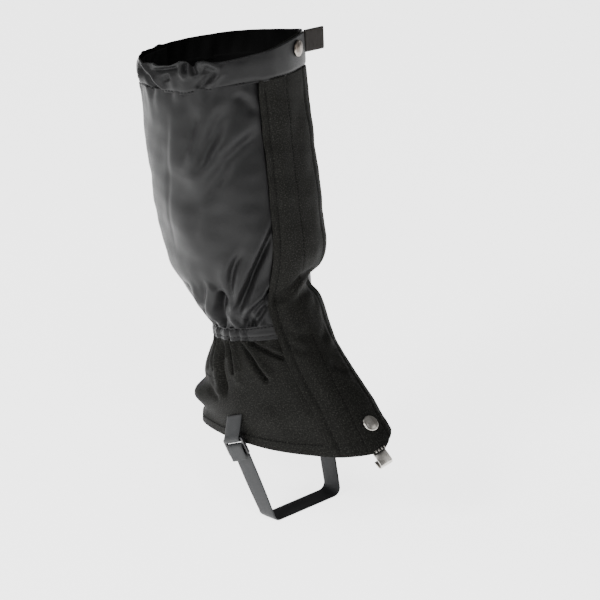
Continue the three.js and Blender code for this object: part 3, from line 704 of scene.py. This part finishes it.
def lowerRelief(angle, at):
    # Pleats that spread from the ankle band, the bulge at the heel and the turned hem.
    degrees = np.degrees(angle)
    near = np.exp(-np.clip(cut["ankleLow"] - at, 0, None) / 17)
    side = smooth(-degrees, 36, 60) + smooth(degrees, 40, 70)
    pleats = (np.sin(angle * 14 + 0.8) + 0.7 * np.sin(angle * 23 + 2.0)) * 1.2 * near * side
    heel = bulge(angle, at, (-152, 34), 5.2, (20, 8.5)) + bulge(angle, at, (150, 33), 3.5, (24, 12))
    heel += bulge(angle, at, (-150, 52), -3.2, (24, 7)) + bulge(angle, at, (-148, 18), -2.4, (24, 7))
    hem = 0.5 * (1 - smooth(at, 8, 10.5))
    seam = fromBackSeam(angle)
    folds = limited(foldHeight(lowerFolds, angle, at), -12, 6)
    waves = ripple(angle, at, 7, 44, 0.9) + ripple(angle, at, 9, 20, 0.3)
    return seam * (folds + waves + pleats + heel) - cut["seamDip"] * (1 - seam) + hem


ankleFolds = [
    fold([(-98, 94), (-95, 102), (-93, 111)], -2.8, 2.4, 1.2, 5, 0.04),
    fold([(-85, 94), (-82, 102), (-80, 111)], -2.6, 2.2, 1.2, 5, 0.04),
    fold([(-73, 96), (-72, 111)], -1.4, 1.8, 0.6, 5, 0.04),
    fold([(-112, 94), (-110, 111)], -1.8, 2.6, 0.8, 5, 0.04),
    fold([(-127, 94), (-126, 111)], -2.0, 2.8, 0.8, -5, 0.04),
]


def ankleRelief(angle, at):
    # The ankle band: gathered at the side and the back, puffed between its two rows.
    degrees = np.degrees(angle)
    loose = smooth(-degrees, 66, 86) + smooth(degrees, 40, 66)
    wave = (np.sin(angle * 19 + 1.0) + 0.8 * np.sin(angle * 31 + 0.3)) * 0.6 * loose
    up = (at - cut["bandFoot"]) / (cut["ankleHigh"] - cut["bandFoot"])
    rows = -0.6 * sum(np.exp(-(((at - row) / 1.1) ** 2)) for row in cut["ankleRows"])
    puff = 0.8 * np.sin(math.pi * np.clip(up, 0, 1))
    seam = fromBackSeam(angle)
    return seam * (wave + limited(foldHeight(ankleFolds, angle, at), -4, 3)) + rows + puff


snaps = {
    "upper": {"share": 0.7, "at": 353, "body": "shin_flap", "finish": capNickel},
    "lower": {"share": 0.63, "at": 19.6, "body": "instep_flap", "finish": brightNickel},
}
flapFolds = [
    fold([(16, 141), (-1.5, 141), (-8, 137), (-20, 129), (-30, 122)], -4.4, 3.2, 2.4, 6, 0.12),
    fold([(-13, 196), (-16, 175), (-15.5, 146)], -0.9, 4),
    fold([(-33, 110), (-31, 103), (-24, 96), (-4, 94)], -1.6, 4.2, 0.8, 6),
    fold([(-10, 300), (-4, 230), (-6, 180)], -0.5, 12),
    fold([(4, 260), (12, 230), (16, 200)], 0.9, 9),
    fold([(-12, 160), (2, 156), (18, 158)], 1.0, 6),
    fold([(24, 118), (14, 112), (0, 110)], -1.4, 5, 0.8, -7),
]


def flapRise(angle, at):
    # The flap lies on the panel at its seam and stands over the closure.
    share = flapShare(angle, at)
    low, high = cut["cloth"] + 0.3, cut["flapInner"]
    return low + (high - low) * np.clip((share - 0.03) / 0.2, 0, 1) + cut["cloth"]


instepFolds = [
    fold([(-36, 100), (-30, 88), (-20, 80)], -1.6, 4.5, 0.9, 6),
    fold([(-6, 66), (4, 60), (12, 58)], -2.2, 4, 1.4, -6),
    fold([(-10, 62), (-6, 44), (-8, 24)], 0.8, 6),
    fold([(-30, 60), (-28, 36), (-30, 10)], -0.9, 6),
    fold([(20, 96), (10, 90), (0, 88)], -1.5, 4.5, 0.9, 6),
]


def flapShare(angle, at):
    return (angle - sewnAngle(at)) / (freeAngle(at) - sewnAngle(at))


def frontRelief(angle, at):
    # The folds that every layer of the closure shares, calm round the press studs.
    share = flapShare(angle, at)
    waves = ripple(angle, at, 21, 40, 0.6) + ripple(angle, at, 23, 17, 0.18)
    upper, lower = snaps["upper"], snaps["lower"]
    calm = smooth(np.abs(at - upper["at"]), 8, 22)
    calm = calm * smooth(np.hypot((share - lower["share"]) * 60, at - lower["at"]), 8, 20)
    return (waves + limited(foldHeight(flapFolds + instepFolds, angle, at), -5, 3)) * calm


def flapRelief(angle, at):
    # The turned edges of the flap and the dips along its long rows of stitching.
    share = flapShare(angle, at)
    edge = 0.7 * (1 - smooth(share, 0.05, 0.075)) + 0.5 * smooth(share, 0.86, 0.885)
    rows = sum(depth * np.exp(-(((share - flapRows[row]) / width) ** 2)) for row, depth, width in
               (("seam", -0.9, 0.016), ("edge", -0.8, 0.014), ("middle", -0.5, 0.014)))
    hem = 0.45 * (1 - smooth(at - cornerCut(share), 7, 9.5))
    return edge + rows + hem + frontRelief(angle, at)


def flatOffset(distance):
    return lambda angle, at: np.full(np.broadcast(angle, at).shape, float(distance))


def between(low, high, startAngle, endAngle):
    # Places of a piece from one height to another and from one edge to the other.
    def place(u, v):
        at = low(u) * (1 - v) + high(u) * v
        return startAngle(at) * (1 - u) + endAngle(at) * u, at
    return place


def level(value):
    return lambda u: np.full(np.shape(u), float(value))


gap = 0.3
backGap = -0.003   # radians: the two sides overlap by a hair at the back seam
midBand = 340.0    # a height in the rim band, where its ends are measured
# For each flap: the leg's body, the flap's body and two places on its sewn edge, which are handed to bend.
bends = {
    "shin": ("leg_sleeve", "shin_flap", (-24, 30, 400), (-9, 25, 400)),
    "instep": ("leg_sleeve", "instep_flap", (-36, -78, 81), (-22, -78.4, 80.6)),
}


def backOut(at):
    return np.full(np.shape(at), -math.pi + backGap)


def backIn(at):
    return np.full(np.shape(at), math.pi - backGap)


def besideSewn(at):
    return sewnAngle(at) + 0.012


def besideFree(at):
    return freeAngle(at) + gap / halfWidth(at)


def rimPlace(start, end, lowOf, below=0.0, ruffled=False):
    # From a level line to the rim, which rises towards the front.
    def place(u, v):
        first = start(np.full(np.shape(u), midBand))
        last = end(np.full(np.shape(u), midBand))
        angle = first + (last - first) * u
        low = lowOf(angle)
        high = rimAt(angle) - below + (ruffle(angle) if ruffled else 0)
        return angle, low + (high - low) * v
    return place


def flapPlace(lowOf, high):
    def place(share, v):
        at = lowOf(share) * (1 - v) + high * v
        return flapAngle(share, at), at
    return place


def placketPlace(lowOf, high, toRim=False):
    # The underlap starts a little inside the sewn edge.
    def place(u, v):
        share = 0.12 + 0.88 * u
        top = rimAt(flapAngle(share, leg["length"])) - 1.5 if toRim else high
        at = lowOf(share) * (1 - v) + top * v
        return flapAngle(share, at), at
    return place


def tapePlace(low, high):
    def place(u, v):
        share = 0.3 + 0.4 * u
        at = low + (high - low) * v
        return flapAngle(share, at), at
    return place


def hemInner(u):
    # The inner hem rises to the flap's cut corner.
    return (cut["cornerHeight"] + 1.5) * np.clip(1 - u * 4, 0, 1)


def clothPiece(name, nodes, cells, place, relief, **changes):
    # Millimetres of thickness, and how much wider than the smooth surface the piece is cut.
    usual = {"thickness": 1.3, "fullness": 1.03, "offset": flatOffset(cut["cloth"]),
             "finishes": [coarseNylon, lining], "slot": "coarse_nylon", "held": "hung",
             "body": "leg_sleeve"}
    return {"name": name, "replaces": nodes, "cells": cells, "place": place, "relief": relief,
            **usual, **changes}


satin = {"finishes": [smoothNylon, lining], "slot": "smooth_nylon"}
calf = (level(cut["ankleHigh"] - 0.6), level(cut["bandLow"] + 4))
ankle = (level(cut["bandFoot"]), level(cut["ankleHigh"]))
footTop = level(cut["bandFoot"] + 0.8)
clothPieces = [
    clothPiece("upper_outer_cloth", ["upper_outer_panel"], (190, 190),
               between(*calf, backOut, besideSewn), upperRelief, thickness=1.1, fullness=1.05, **satin),
    clothPiece("upper_inner_cloth", ["upper_inner_panel"], (80, 100),
               between(*calf, besideFree, backIn), upperRelief, thickness=1.1, fullness=1.05, **satin),
    clothPiece("lower_outer_cloth", ["lower_outer_panel"], (170, 88),
               between(level(0), footTop, backOut, besideSewn), lowerRelief, fullness=1.05),
    clothPiece("lower_inner_cloth", ["lower_inner_panel"], (90, 50),
               between(hemInner, footTop, besideFree, backIn), lowerRelief, fullness=1.05),
    clothPiece("ankle_band_outer", ["ankle_casing", "ankle_elastic"], (170, 14),
               between(*ankle, backOut, besideSewn), ankleRelief, thickness=2.6, fullness=1.2,
               offset=flatOffset(2.6), held="gathered", **satin),
    clothPiece("ankle_band_inner", ["ankle_casing"], (90, 10),
               between(*ankle, besideFree, backIn), ankleRelief, thickness=2.6, fullness=1.2,
               offset=flatOffset(2.6), held="gathered", **satin),
    clothPiece("rim_band_outer", ["rim_casing", "flap_band"], (190, 24),
               rimPlace(backOut, freeAngle, seamAt, 0.0, True), bandRelief, thickness=1.6,
               fullness=1.15, offset=bandOffset, held="gathered", blend=bends["shin"], **satin),
    clothPiece("rim_band_inner", ["rim_casing"], (90, 20),
               rimPlace(besideFree, backIn, seamAt), bandPucker, thickness=3.0, fullness=1.25,
               offset=innerBandOffset, held="gathered", **satin),
    clothPiece("rim_elastic_tape", ["rim_elastic"], (110, 8),
               rimPlace(backOut, besideSewn, lambda angle: seamAt(angle) + 2, 3.5), bandRelief,
               thickness=0.9, fullness=1.25, offset=lambda angle, at: bandOffset(angle, at) - 2.1,
               finishes=[elasticCloth], slot="elastic", held="gathered"),
    clothPiece("shin_flap_cloth", ["shin_flap"], (64, 140),
               flapPlace(lambda share: np.full(np.shape(share), cut["split"] + 0.03), cut["bandLow"] + 3),
               flapRelief, offset=flapRise, crisp=0, blend=bends["shin"]),
    clothPiece("instep_flap_cloth", ["instep_flap"], (64, 66),
               flapPlace(cornerCut, cut["split"] - 0.03),
               flapRelief, offset=flapRise, crisp=-1, blend=bends["instep"]),
    clothPiece("upper_placket_cloth", ["upper_placket"], (24, 110),
               placketPlace(lambda share: np.full(np.shape(share), cut["split"] + 0.4), 0, True),
               frontRelief),
    clothPiece("lower_placket_cloth", ["lower_placket"], (24, 50),
               placketPlace(lambda share: cornerCut(share) + 1.5, cut["split"] - 0.4), frontRelief),
]
tapes = {"lowEnd": 128.5, "highEnd": 322, "instepLow": 28.5, "instepHigh": 77.5, "pile": 1.2}
for part, low, high in (("upper", tapes["lowEnd"], tapes["highEnd"]),
                        ("lower", tapes["instepLow"], tapes["instepHigh"])):
    body = "shin_flap" if part == "upper" else "instep_flap"
    for side, distance, carrier in (("loop", cut["cloth"] + 1.5, "leg_sleeve"),
                                    ("hook", cut["flapInner"] - 0.5, body)):
        clothPieces.append(clothPiece(
            f"{part}_{side}_strip", [f"{part}_{side}_tape"], (14, 60 if part == "upper" else 20),
            tapePlace(low, high), frontRelief, thickness=tapes["pile"], fullness=1.0,
            offset=flatOffset(distance), finishes=[pile], slot="touch_tape", held="laid", body=carrier))


def bend(made, first, second, start, end):
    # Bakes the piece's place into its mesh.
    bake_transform(made)


specs = {spec["name"]: spec for spec in clothPieces}
for spec in clothPieces:
    made = makeCloth(spec)
    if "blend" in spec:
        bend(made, *spec["blend"])
    else:
        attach(made, spec["body"])
print("gaiter: cloth made")


stitch = {"pitch": 3.3, "length": 2.35, "radius": 0.36, "sink": 0.12, "sides": 6, "trace": 0.8}
clothPerDegree = roundScale * 0.01745   # mm of cloth to a degree


def capsule():
    # One stitch along x: a short round thread whose ends dip into the cloth.
    rings = [(-0.5, 0.25, -0.9), (-0.42, 0.8, -0.25), (-0.18, 1, 0), (0.18, 1, 0), (0.42, 0.8, -0.25),
             (0.5, 0.25, -0.9)]
    sides = stitch["sides"]
    points = []
    for x, size, dip in rings:
        for k in range(sides):
            turn = 2 * math.pi * k / sides
            points.append((x * stitch["length"], size * stitch["radius"] * math.cos(turn),
                           size * stitch["radius"] * math.sin(turn) + dip * stitch["radius"]))
    faces = ringFaces(len(rings), sides)
    faces.append(tuple(reversed(range(sides))))
    faces.append(tuple(range((len(rings) - 1) * sides, len(rings) * sides)))
    return np.array(points), faces


capsulePoints, capsuleFaces = capsule()
stitched = {}


def sew(key, points, normals):
    # Puts stitches along a path of points, at an even pitch.
    run = lengthsAlong(points)
    for middle in np.arange(stitch["pitch"] * 0.5, run[-1] - 1, stitch["pitch"]):
        along = readAlong(middle + 1, run, points) - readAlong(middle - 1, run, points)
        along /= np.linalg.norm(along)
        normal = readAlong(middle, run, normals)
        normal -= along * (normal @ along)
        normal /= np.linalg.norm(normal)
        axes = np.stack([along, np.cross(normal, along), normal])
        centre = readAlong(middle, run, points) + normal * (stitch["radius"] * 0.55 - stitch["sink"])
        stitched.setdefault(key, []).append(capsulePoints @ axes + centre)


def sewLine(key, piece, line):
    # A row of stitches over a piece of cloth, through (degrees, mm) points.
    places = np.array(line, float)
    run = lengthsAlong(places * [clothPerDegree, 1])
    fine = np.arange(0, run[-1], stitch["trace"])
    angle = np.radians(np.interp(fine, run, places[:, 0]))
    at = np.interp(fine, run, places[:, 1])
    sew(key, *surfaceOf(specs[piece], angle, at))


def sewShare(key, row, low, high):
    # A row at an even share of the flap's width.
    at = np.arange(low, high, stitch["trace"])
    sew(key, *surfaceOf(specs[f"{key}_flap_cloth"], flapAngle(flapRows[row], at), at))


def alongSeam(start, end):
    # The row just above the rim band's lower seam.
    return [(degrees, float(seamAt(np.radians(degrees))) + 2.0)
            for degrees in np.linspace(start, end, 40)]


for key, row, low, high in (
        ("shin", "seam", 104, 323), ("shin", "edge", 104, 323),
        ("instep", "seam", 4, 102), ("instep", "edge", 9, 102),
        ("shin", "middle", 150, 322), ("instep", "middle", 8, 96)):
    sewShare(key, row, low, high)
lowRow, highRow = cut["ankleRows"]
for key, piece, line in (
        ("sleeve", "rim_band_outer", alongSeam(-178, -24)),
        ("shin", "rim_band_outer", alongSeam(-9, 31)),
        ("sleeve", "ankle_band_outer", [(-178, highRow), (-41, highRow)]),
        ("pale", "ankle_band_outer", [(-178, lowRow), (-43, lowRow)]),
        ("pale", "lower_outer_cloth", [(-178, 92), (-44, 92)]),
        ("pale", "lower_outer_cloth", [(-140, 59), (-119, 59), (-87, 60), (-43, 72)]),
        ("sleeve", "lower_outer_cloth", [(-178, 9), (-44, 9)]),
        ("sleeve", "lower_inner_cloth", [(30, 10), (178, 9)]),
        ("sleeve", "rim_band_inner", alongSeam(36, 178)),
        ("sleeve", "ankle_band_inner", [(46, highRow), (178, highRow)]),
        ("sleeve", "ankle_band_inner", [(46, lowRow), (178, lowRow)])):
    sewLine(key, piece, line)
print("gaiter: rows of stitching laid")


def ribbon(name, path, across, width, thickness, finishes, crown=0.12):
    # Webbing along a path of points, with a slightly crowned face and soft edges.
    path, across = np.array(path, float), np.array(across, float)
    steps = lengthsAlong(path)
    fine = np.linspace(0, steps[-1], max(int(steps[-1] / 1.0), 8))
    centre = readAlong(fine, steps, path)
    side = unit(readAlong(fine, steps, across))
    for _ in range(3):
        centre[1:-1] = (centre[:-2] + 2 * centre[1:-1] + centre[2:]) / 4
        side[1:-1] = (side[:-2] + 2 * side[1:-1] + side[2:]) / 4
    tangent = unit(np.gradient(centre, axis=0))
    normal = unit(np.cross(side, tangent))
    lanes = np.array([-0.5, -0.47, -0.4, -0.25, -0.08, 0.08, 0.25, 0.4, 0.47, 0.5])
    shape = np.array([0.35, 0.8, 1, 1 + crown, 1 + crown, 1 + crown, 1 + crown, 1, 0.8, 0.35])
    grid = centre[:, None, :] + side[:, None, :] * (lanes * width)[None, :, None]
    lift = normal[:, None, :] * (shape * thickness / 2)[None, :, None]
    place = np.zeros(grid.shape)
    place[..., 0] = (lanes * width)[None, :]
    place[..., 1] = fine[:, None]
    made = clothMesh(name, grid + lift, grid - lift, place, finishes)
    return made, fine[-1]


def arc(centre, first, second, radius, start, end, count):
    # Points of an arc, between two angles in degrees.
    turns = np.radians(np.linspace(start, end, count + 1))
    return [centre + first * radius * math.cos(t) + second * radius * math.sin(t) for t in turns]


strap = {
    "width": 20, "thickness": 1.5, "archHalf": 36, "corner": 7, "sewnBulge": 0.7, "hemBulge": 3.9,
    "sewn": (31, 95), "bar": (28, 74), "barSize": 2.4, "barPitch": 7.3, "tail": 13,
}
# How far the middle of the webbing lies from the middle of a bar that it goes round.
wrap = strap["barSize"] / 2 * math.sqrt(2) + gap + strap["thickness"] / 2


def onSide(side, y, z, distance):
    # A place on one side of the leg, found from its y and z.
    at, angle = 0.0, side * math.pi / 2
    for _ in range(40):
        here = skin(angle, at) + directions(angle, at)[2] * distance
        at += (z - here[2]) * 0.8
        angle += side * (y - here[1]) / 110
    return skin(angle, at) + directions(angle, at)[2] * distance


def strapPlaces(side):
    # Where the strap is sewn, the bar that it runs to, and the directions there.
    stand = cut["cloth"] + strap["thickness"] / 2
    sewn = onSide(side, *strap["sewn"], stand + strap["sewnBulge"])
    bar = onSide(side, *strap["bar"], stand + strap["hemBulge"] + (wrap if side < 0 else 0))
    foot = np.array([side * (strap["archHalf"] + strap["corner"]), 0.0,
                     strap["corner"] - strap["thickness"] / 2])
    up = unit(bar - foot)
    out = unit(np.array([side, 0.0, 0.0]) - up * side * up[0])
    return {"sewn": sewn, "bar": bar, "up": up, "out": out, "across": unit(np.cross(up, out))}


def strapRise(side, places, end, count):
    # From under the arch round the corner and up, turning from flat to the slant of the bar.
    flat = np.array([0.0, np.sign(places["across"][1]), 0.0])
    turn = arc(np.array([side * strap["archHalf"], 0.0, strap["corner"] - strap["thickness"] / 2]),
               np.array([0.0, 0, -1]), np.array([side, 0.0, 0]), strap["corner"], 0, 80, 8)
    steps = [(point, flat) for point in turn]
    for share in np.linspace(0, 1, count + 1)[1:]:
        twist = min(share * 2, 1)
        steps.append((turn[-1] * (1 - share) + end * share,
                      unit(flat * (1 - twist) + places["across"] * twist)))
    return steps


outerEnd, innerEnd = strapPlaces(-1), strapPlaces(1)
middleBar = outerEnd["bar"] - outerEnd["up"] * strap["barPitch"]
innerRise = strapRise(1, innerEnd, innerEnd["bar"], 10) + [(innerEnd["sewn"], innerEnd["across"])]
outerRise = strapRise(-1, outerEnd, middleBar - outerEnd["out"] * wrap, 10)
turnBack = [(point, outerEnd["across"]) for point in
            arc(middleBar, outerEnd["out"], outerEnd["up"], wrap, 180, 0, 10)]
tail = [(middleBar + outerEnd["out"] * wrap - outerEnd["up"] * strap["tail"] * share, outerEnd["across"])
        for share in (0.5, 1)]
strapSteps = innerRise[::-1] + outerRise + turnBack[1:] + tail
sides = [strapSteps[0][1]]
for _, across in strapSteps[1:]:
    sides.append(across if across @ sides[-1] > 0 else -across)
underfoot, strapLength = ribbon("underfoot_strap_web", [point for point, _ in strapSteps], sides,
                                strap["width"], strap["thickness"], [strapWeb])
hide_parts("underfoot_strap")
bend(underfoot, "leg_sleeve", "boot_strap", (0, 31, 78), (0, 31, 48))

entry = outerEnd["bar"] + outerEnd["out"] * wrap
tabPath = [outerEnd["sewn"], outerEnd["sewn"] * 0.3 + entry * 0.7] + arc(
    outerEnd["bar"], outerEnd["out"], outerEnd["up"], wrap, 20, -235, 16)
tabWeb, tabLength = ribbon("strap_tab_web", tabPath, [outerEnd["across"]] * len(tabPath),
                           strap["width"], strap["thickness"], [strapWeb])
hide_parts("strap_tab")
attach(tabWeb, "boot_strap")


def softened(name, node, finish, width, body):
    # A hard part's own mesh with its sharp edges rounded over.
    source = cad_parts[node]
    made = shown(name, source.data.copy())
    made.matrix_world = source.matrix_world
    for kind, settings in (
            ("WELD", {"merge_threshold": 0.00002}),
            ("DECIMATE", {"decimate_type": "DISSOLVE", "angle_limit": math.radians(3)}),
            ("BEVEL", {"width": width * mm, "segments": 3, "limit_method": "ANGLE",
                       "angle_limit": math.radians(35), "harden_normals": True}),
            ("TRIANGULATE", {})):
        modifier = made.modifiers.new(kind.lower(), kind)
        for key, value in settings.items():
            setattr(modifier, key, value)
    bpy.context.view_layer.update()
    evaluated = made.evaluated_get(bpy.context.evaluated_depsgraph_get())
    mesh = bpy.data.meshes.new_from_object(evaluated)
    made.modifiers.clear()
    made.data = mesh
    mesh.materials.clear()
    mesh.materials.append(finish)
    mesh.polygons.foreach_set("use_smooth", np.ones(len(mesh.polygons), bool))
    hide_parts(node)
    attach(made, body)


softened("buckle_slide", "buckle", blackPlastic, 0.55, "boot_strap")
softened("lace_hook_metal", "lace_hook", brightNickel, 0.22, "instep_flap")


tab = {"height": 20, "length": 25, "layer": 1.1, "drop": 10, "gap": 0.8, "slit": 0.3, "straight": 10}


def tabPathAround():
    # The doubled webbing ahead of the flap's edge, out and back.
    at = float(rimAt(freeAngle(np.array(float(leg["length"]))))) - tab["drop"]
    middle = cut["flapInner"] + cut["cloth"] / 2

    def edge(rise):
        here = freeAngle(np.array(at + rise))
        return skin(here, at + rise) + directions(here, at + rise)[2] * middle
    up = unit(edge(tab["height"] / 2) - edge(-tab["height"] / 2))
    start = edge(0) + directions(freeAngle(np.array(at)), at)[0] * tab["gap"]
    ahead = np.array([1.0, 0, 0])
    ahead = unit(ahead - up * (ahead @ up))
    face = np.cross(ahead, up)
    half = (tab["layer"] + tab["slit"]) / 2
    turn = start + ahead * (tab["length"] - half - tab["layer"] / 2)
    path = [start + face * half, start + face * half + ahead * tab["straight"]]
    path += arc(turn, face, ahead, half, 0, 180, 10)
    path += [start - face * half + ahead * tab["straight"], start - face * half]
    return path, np.cross(face, ahead)


tabPoints, tabAcross = tabPathAround()
pullTab, pullLength = ribbon("pull_tab_webbing", tabPoints, [tabAcross] * len(tabPoints),
                             tab["height"], tab["layer"], [webbing], 0.05)
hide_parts("pull_tab")
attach(pullTab, "pull_tab")
print("gaiter: straps and tabs made")


# The cap's section, as (radius, height) points.
capProfile = [(0, 0.1), (7.35, 0.1), (7.5, 0.35), (7.45, 0.9), (7.1, 1.35), (6.4, 1.6), (5.9, 1.62),
              (5.2, 1.85), (3.8, 2.25), (2.2, 2.5), (0, 2.6)]


def turned(name, profile, matrix, finish, sides=48):
    # A round part made by turning its section about its axis.
    points = []
    for radius, height in profile:
        for k in range(sides):
            turn = 2 * math.pi * k / sides
            points.append((radius * math.cos(turn), radius * math.sin(turn), height))
    mesh = bpy.data.meshes.new(name)
    mesh.from_pydata([tuple(mm * value for value in matrix @ Vector(point)) for point in points], [],
                     ringFaces(len(profile), sides))
    mesh.materials.append(finish)
    made = shown(name, mesh)
    weld = made.modifiers.new("weld", "WELD")
    weld.merge_threshold = 0.000005
    evaluated = made.evaluated_get(bpy.context.evaluated_depsgraph_get())
    made.data = bpy.data.meshes.new_from_object(evaluated)
    made.modifiers.clear()
    made.data.polygons.foreach_set("use_smooth", np.ones(len(made.data.polygons), bool))
    return made


def snapMatrix(share, at, distance):
    # A press stud's place on the flap, with its axis square to the cloth.
    angle = flapAngle(share, np.array(float(at)))
    along, up, out = directions(angle, float(at))
    matrix = Matrix.Identity(4)
    centre = skin(angle, float(at)) + out * distance
    for k in range(3):
        matrix[k][0], matrix[k][1], matrix[k][2], matrix[k][3] = along[k], up[k], out[k], centre[k]
    return matrix


for name, snap in snaps.items():
    seatAt = cut["flapInner"] + cut["cloth"] + gap
    cap = turned(f"{name}_snap_button", capProfile,
                 snapMatrix(snap["share"], snap["at"], seatAt), snap["finish"])
    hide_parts(f"{name}_snap_cap")
    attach(cap, snap["body"])
    for part in ("socket", "stud", "post"):
        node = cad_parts[f"{name}_snap_{part}"]
        node.data.materials.clear()
        node.data.materials.append(brightNickel)


def joinStitches(key, finish):
    # All stitches of one thread that ride together become one mesh.
    points = np.concatenate(stitched[key]) * mm
    count = len(stitched[key])
    size = len(capsulePoints)
    faces = [tuple(i + n * size for i in face) for n in range(count) for face in capsuleFaces]
    mesh = bpy.data.meshes.new(f"{key}_stitches")
    mesh.from_pydata(points.tolist(), [], faces)
    mesh.materials.append(finish)
    mesh.polygons.foreach_set("use_smooth", np.ones(len(faces), bool))
    made = shown(f"{key}_stitches", mesh)
    if key in bends:
        bend(made, *bends[key])
    else:
        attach(made, "leg_sleeve")
    print(f"gaiter: {key}_stitches, {count} stitches")


for key, finish in (("sleeve", thread), ("pale", paleThread), ("shin", thread), ("instep", thread)):
    joinStitches(key, finish)


# Lamps: place, power in watts and width of the disk.
studio = {
    "floor": 3.0, "floorDrop": 0.0006, "floorColour": (0.92, 0.92, 0.92), "floorGlow": 3.0, "world": 0.2,
    "key": ((-2.4, 0.1, 1.7), 52, 0.7), "fill": ((1.4, -2.3, 1.0), 8, 1.6),
    "back": ((-0.9, 1.9, 2.0), 12, 1.4), "top": ((-1.1, -1.5, 2.3), 26, 0.9),
}
camera = {"place": (-1.96215, -1.89483, 1.23884), "azimuth": -46, "elevation": 20.849, "lens": 195.7}

floorMesh = bpy.data.meshes.new("studio_floor")
half = studio["floor"]
floorLevel = cadLow.z - studio["floorDrop"]
floorMesh.from_pydata([(-half, -half, floorLevel), (half, -half, floorLevel), (half, half, floorLevel),
                       (-half, half, floorLevel)], [], [(0, 1, 2, 3)])
floorFinish = Finish("paleFloor")
floorMesh.materials.append(floorFinish.finishOff(
    studio["floorColour"], 0.9, Emission_Color=(1, 1, 1, 1), Emission_Strength=studio["floorGlow"]))
shown("studio_floor", floorMesh)

target = Vector((0.0, 0.03, 0.22))
for name in ("key", "fill", "back", "top"):
    place, power, size = studio[name]
    lamp = bpy.data.lights.new(f"{name}_light", "AREA")
    lamp.energy = power
    lamp.shape = "DISK"
    lamp.size = size
    holder = shown(f"{name}_light", lamp)
    holder.location = place
    holder.rotation_mode = "QUATERNION"
    holder.rotation_quaternion = (target - Vector(place)).to_track_quat("-Z", "Y")

world = bpy.data.worlds.new("studio_world")
bpy.context.scene.world = world
world.use_nodes = True
world.node_tree.nodes["Background"].inputs[0].default_value = (1, 1, 1, 1)
world.node_tree.nodes["Background"].inputs[1].default_value = studio["world"]

lens = bpy.data.cameras.new("studio_camera")
lens.lens = camera["lens"]
lens.sensor_width = 36
lens.clip_end = 20
eye = shown("studio_camera", lens)
azimuth, elevation = math.radians(camera["azimuth"]), math.radians(camera["elevation"])
backward = Vector((math.sin(azimuth) * math.cos(elevation), -math.cos(azimuth) * math.cos(elevation),
                   math.sin(elevation)))
eye.location = camera["place"]
eye.rotation_mode = "QUATERNION"
eye.rotation_quaternion = (-backward).to_track_quat("-Z", "Y")
bpy.context.scene.camera = eye
print("gaiter: studio made")
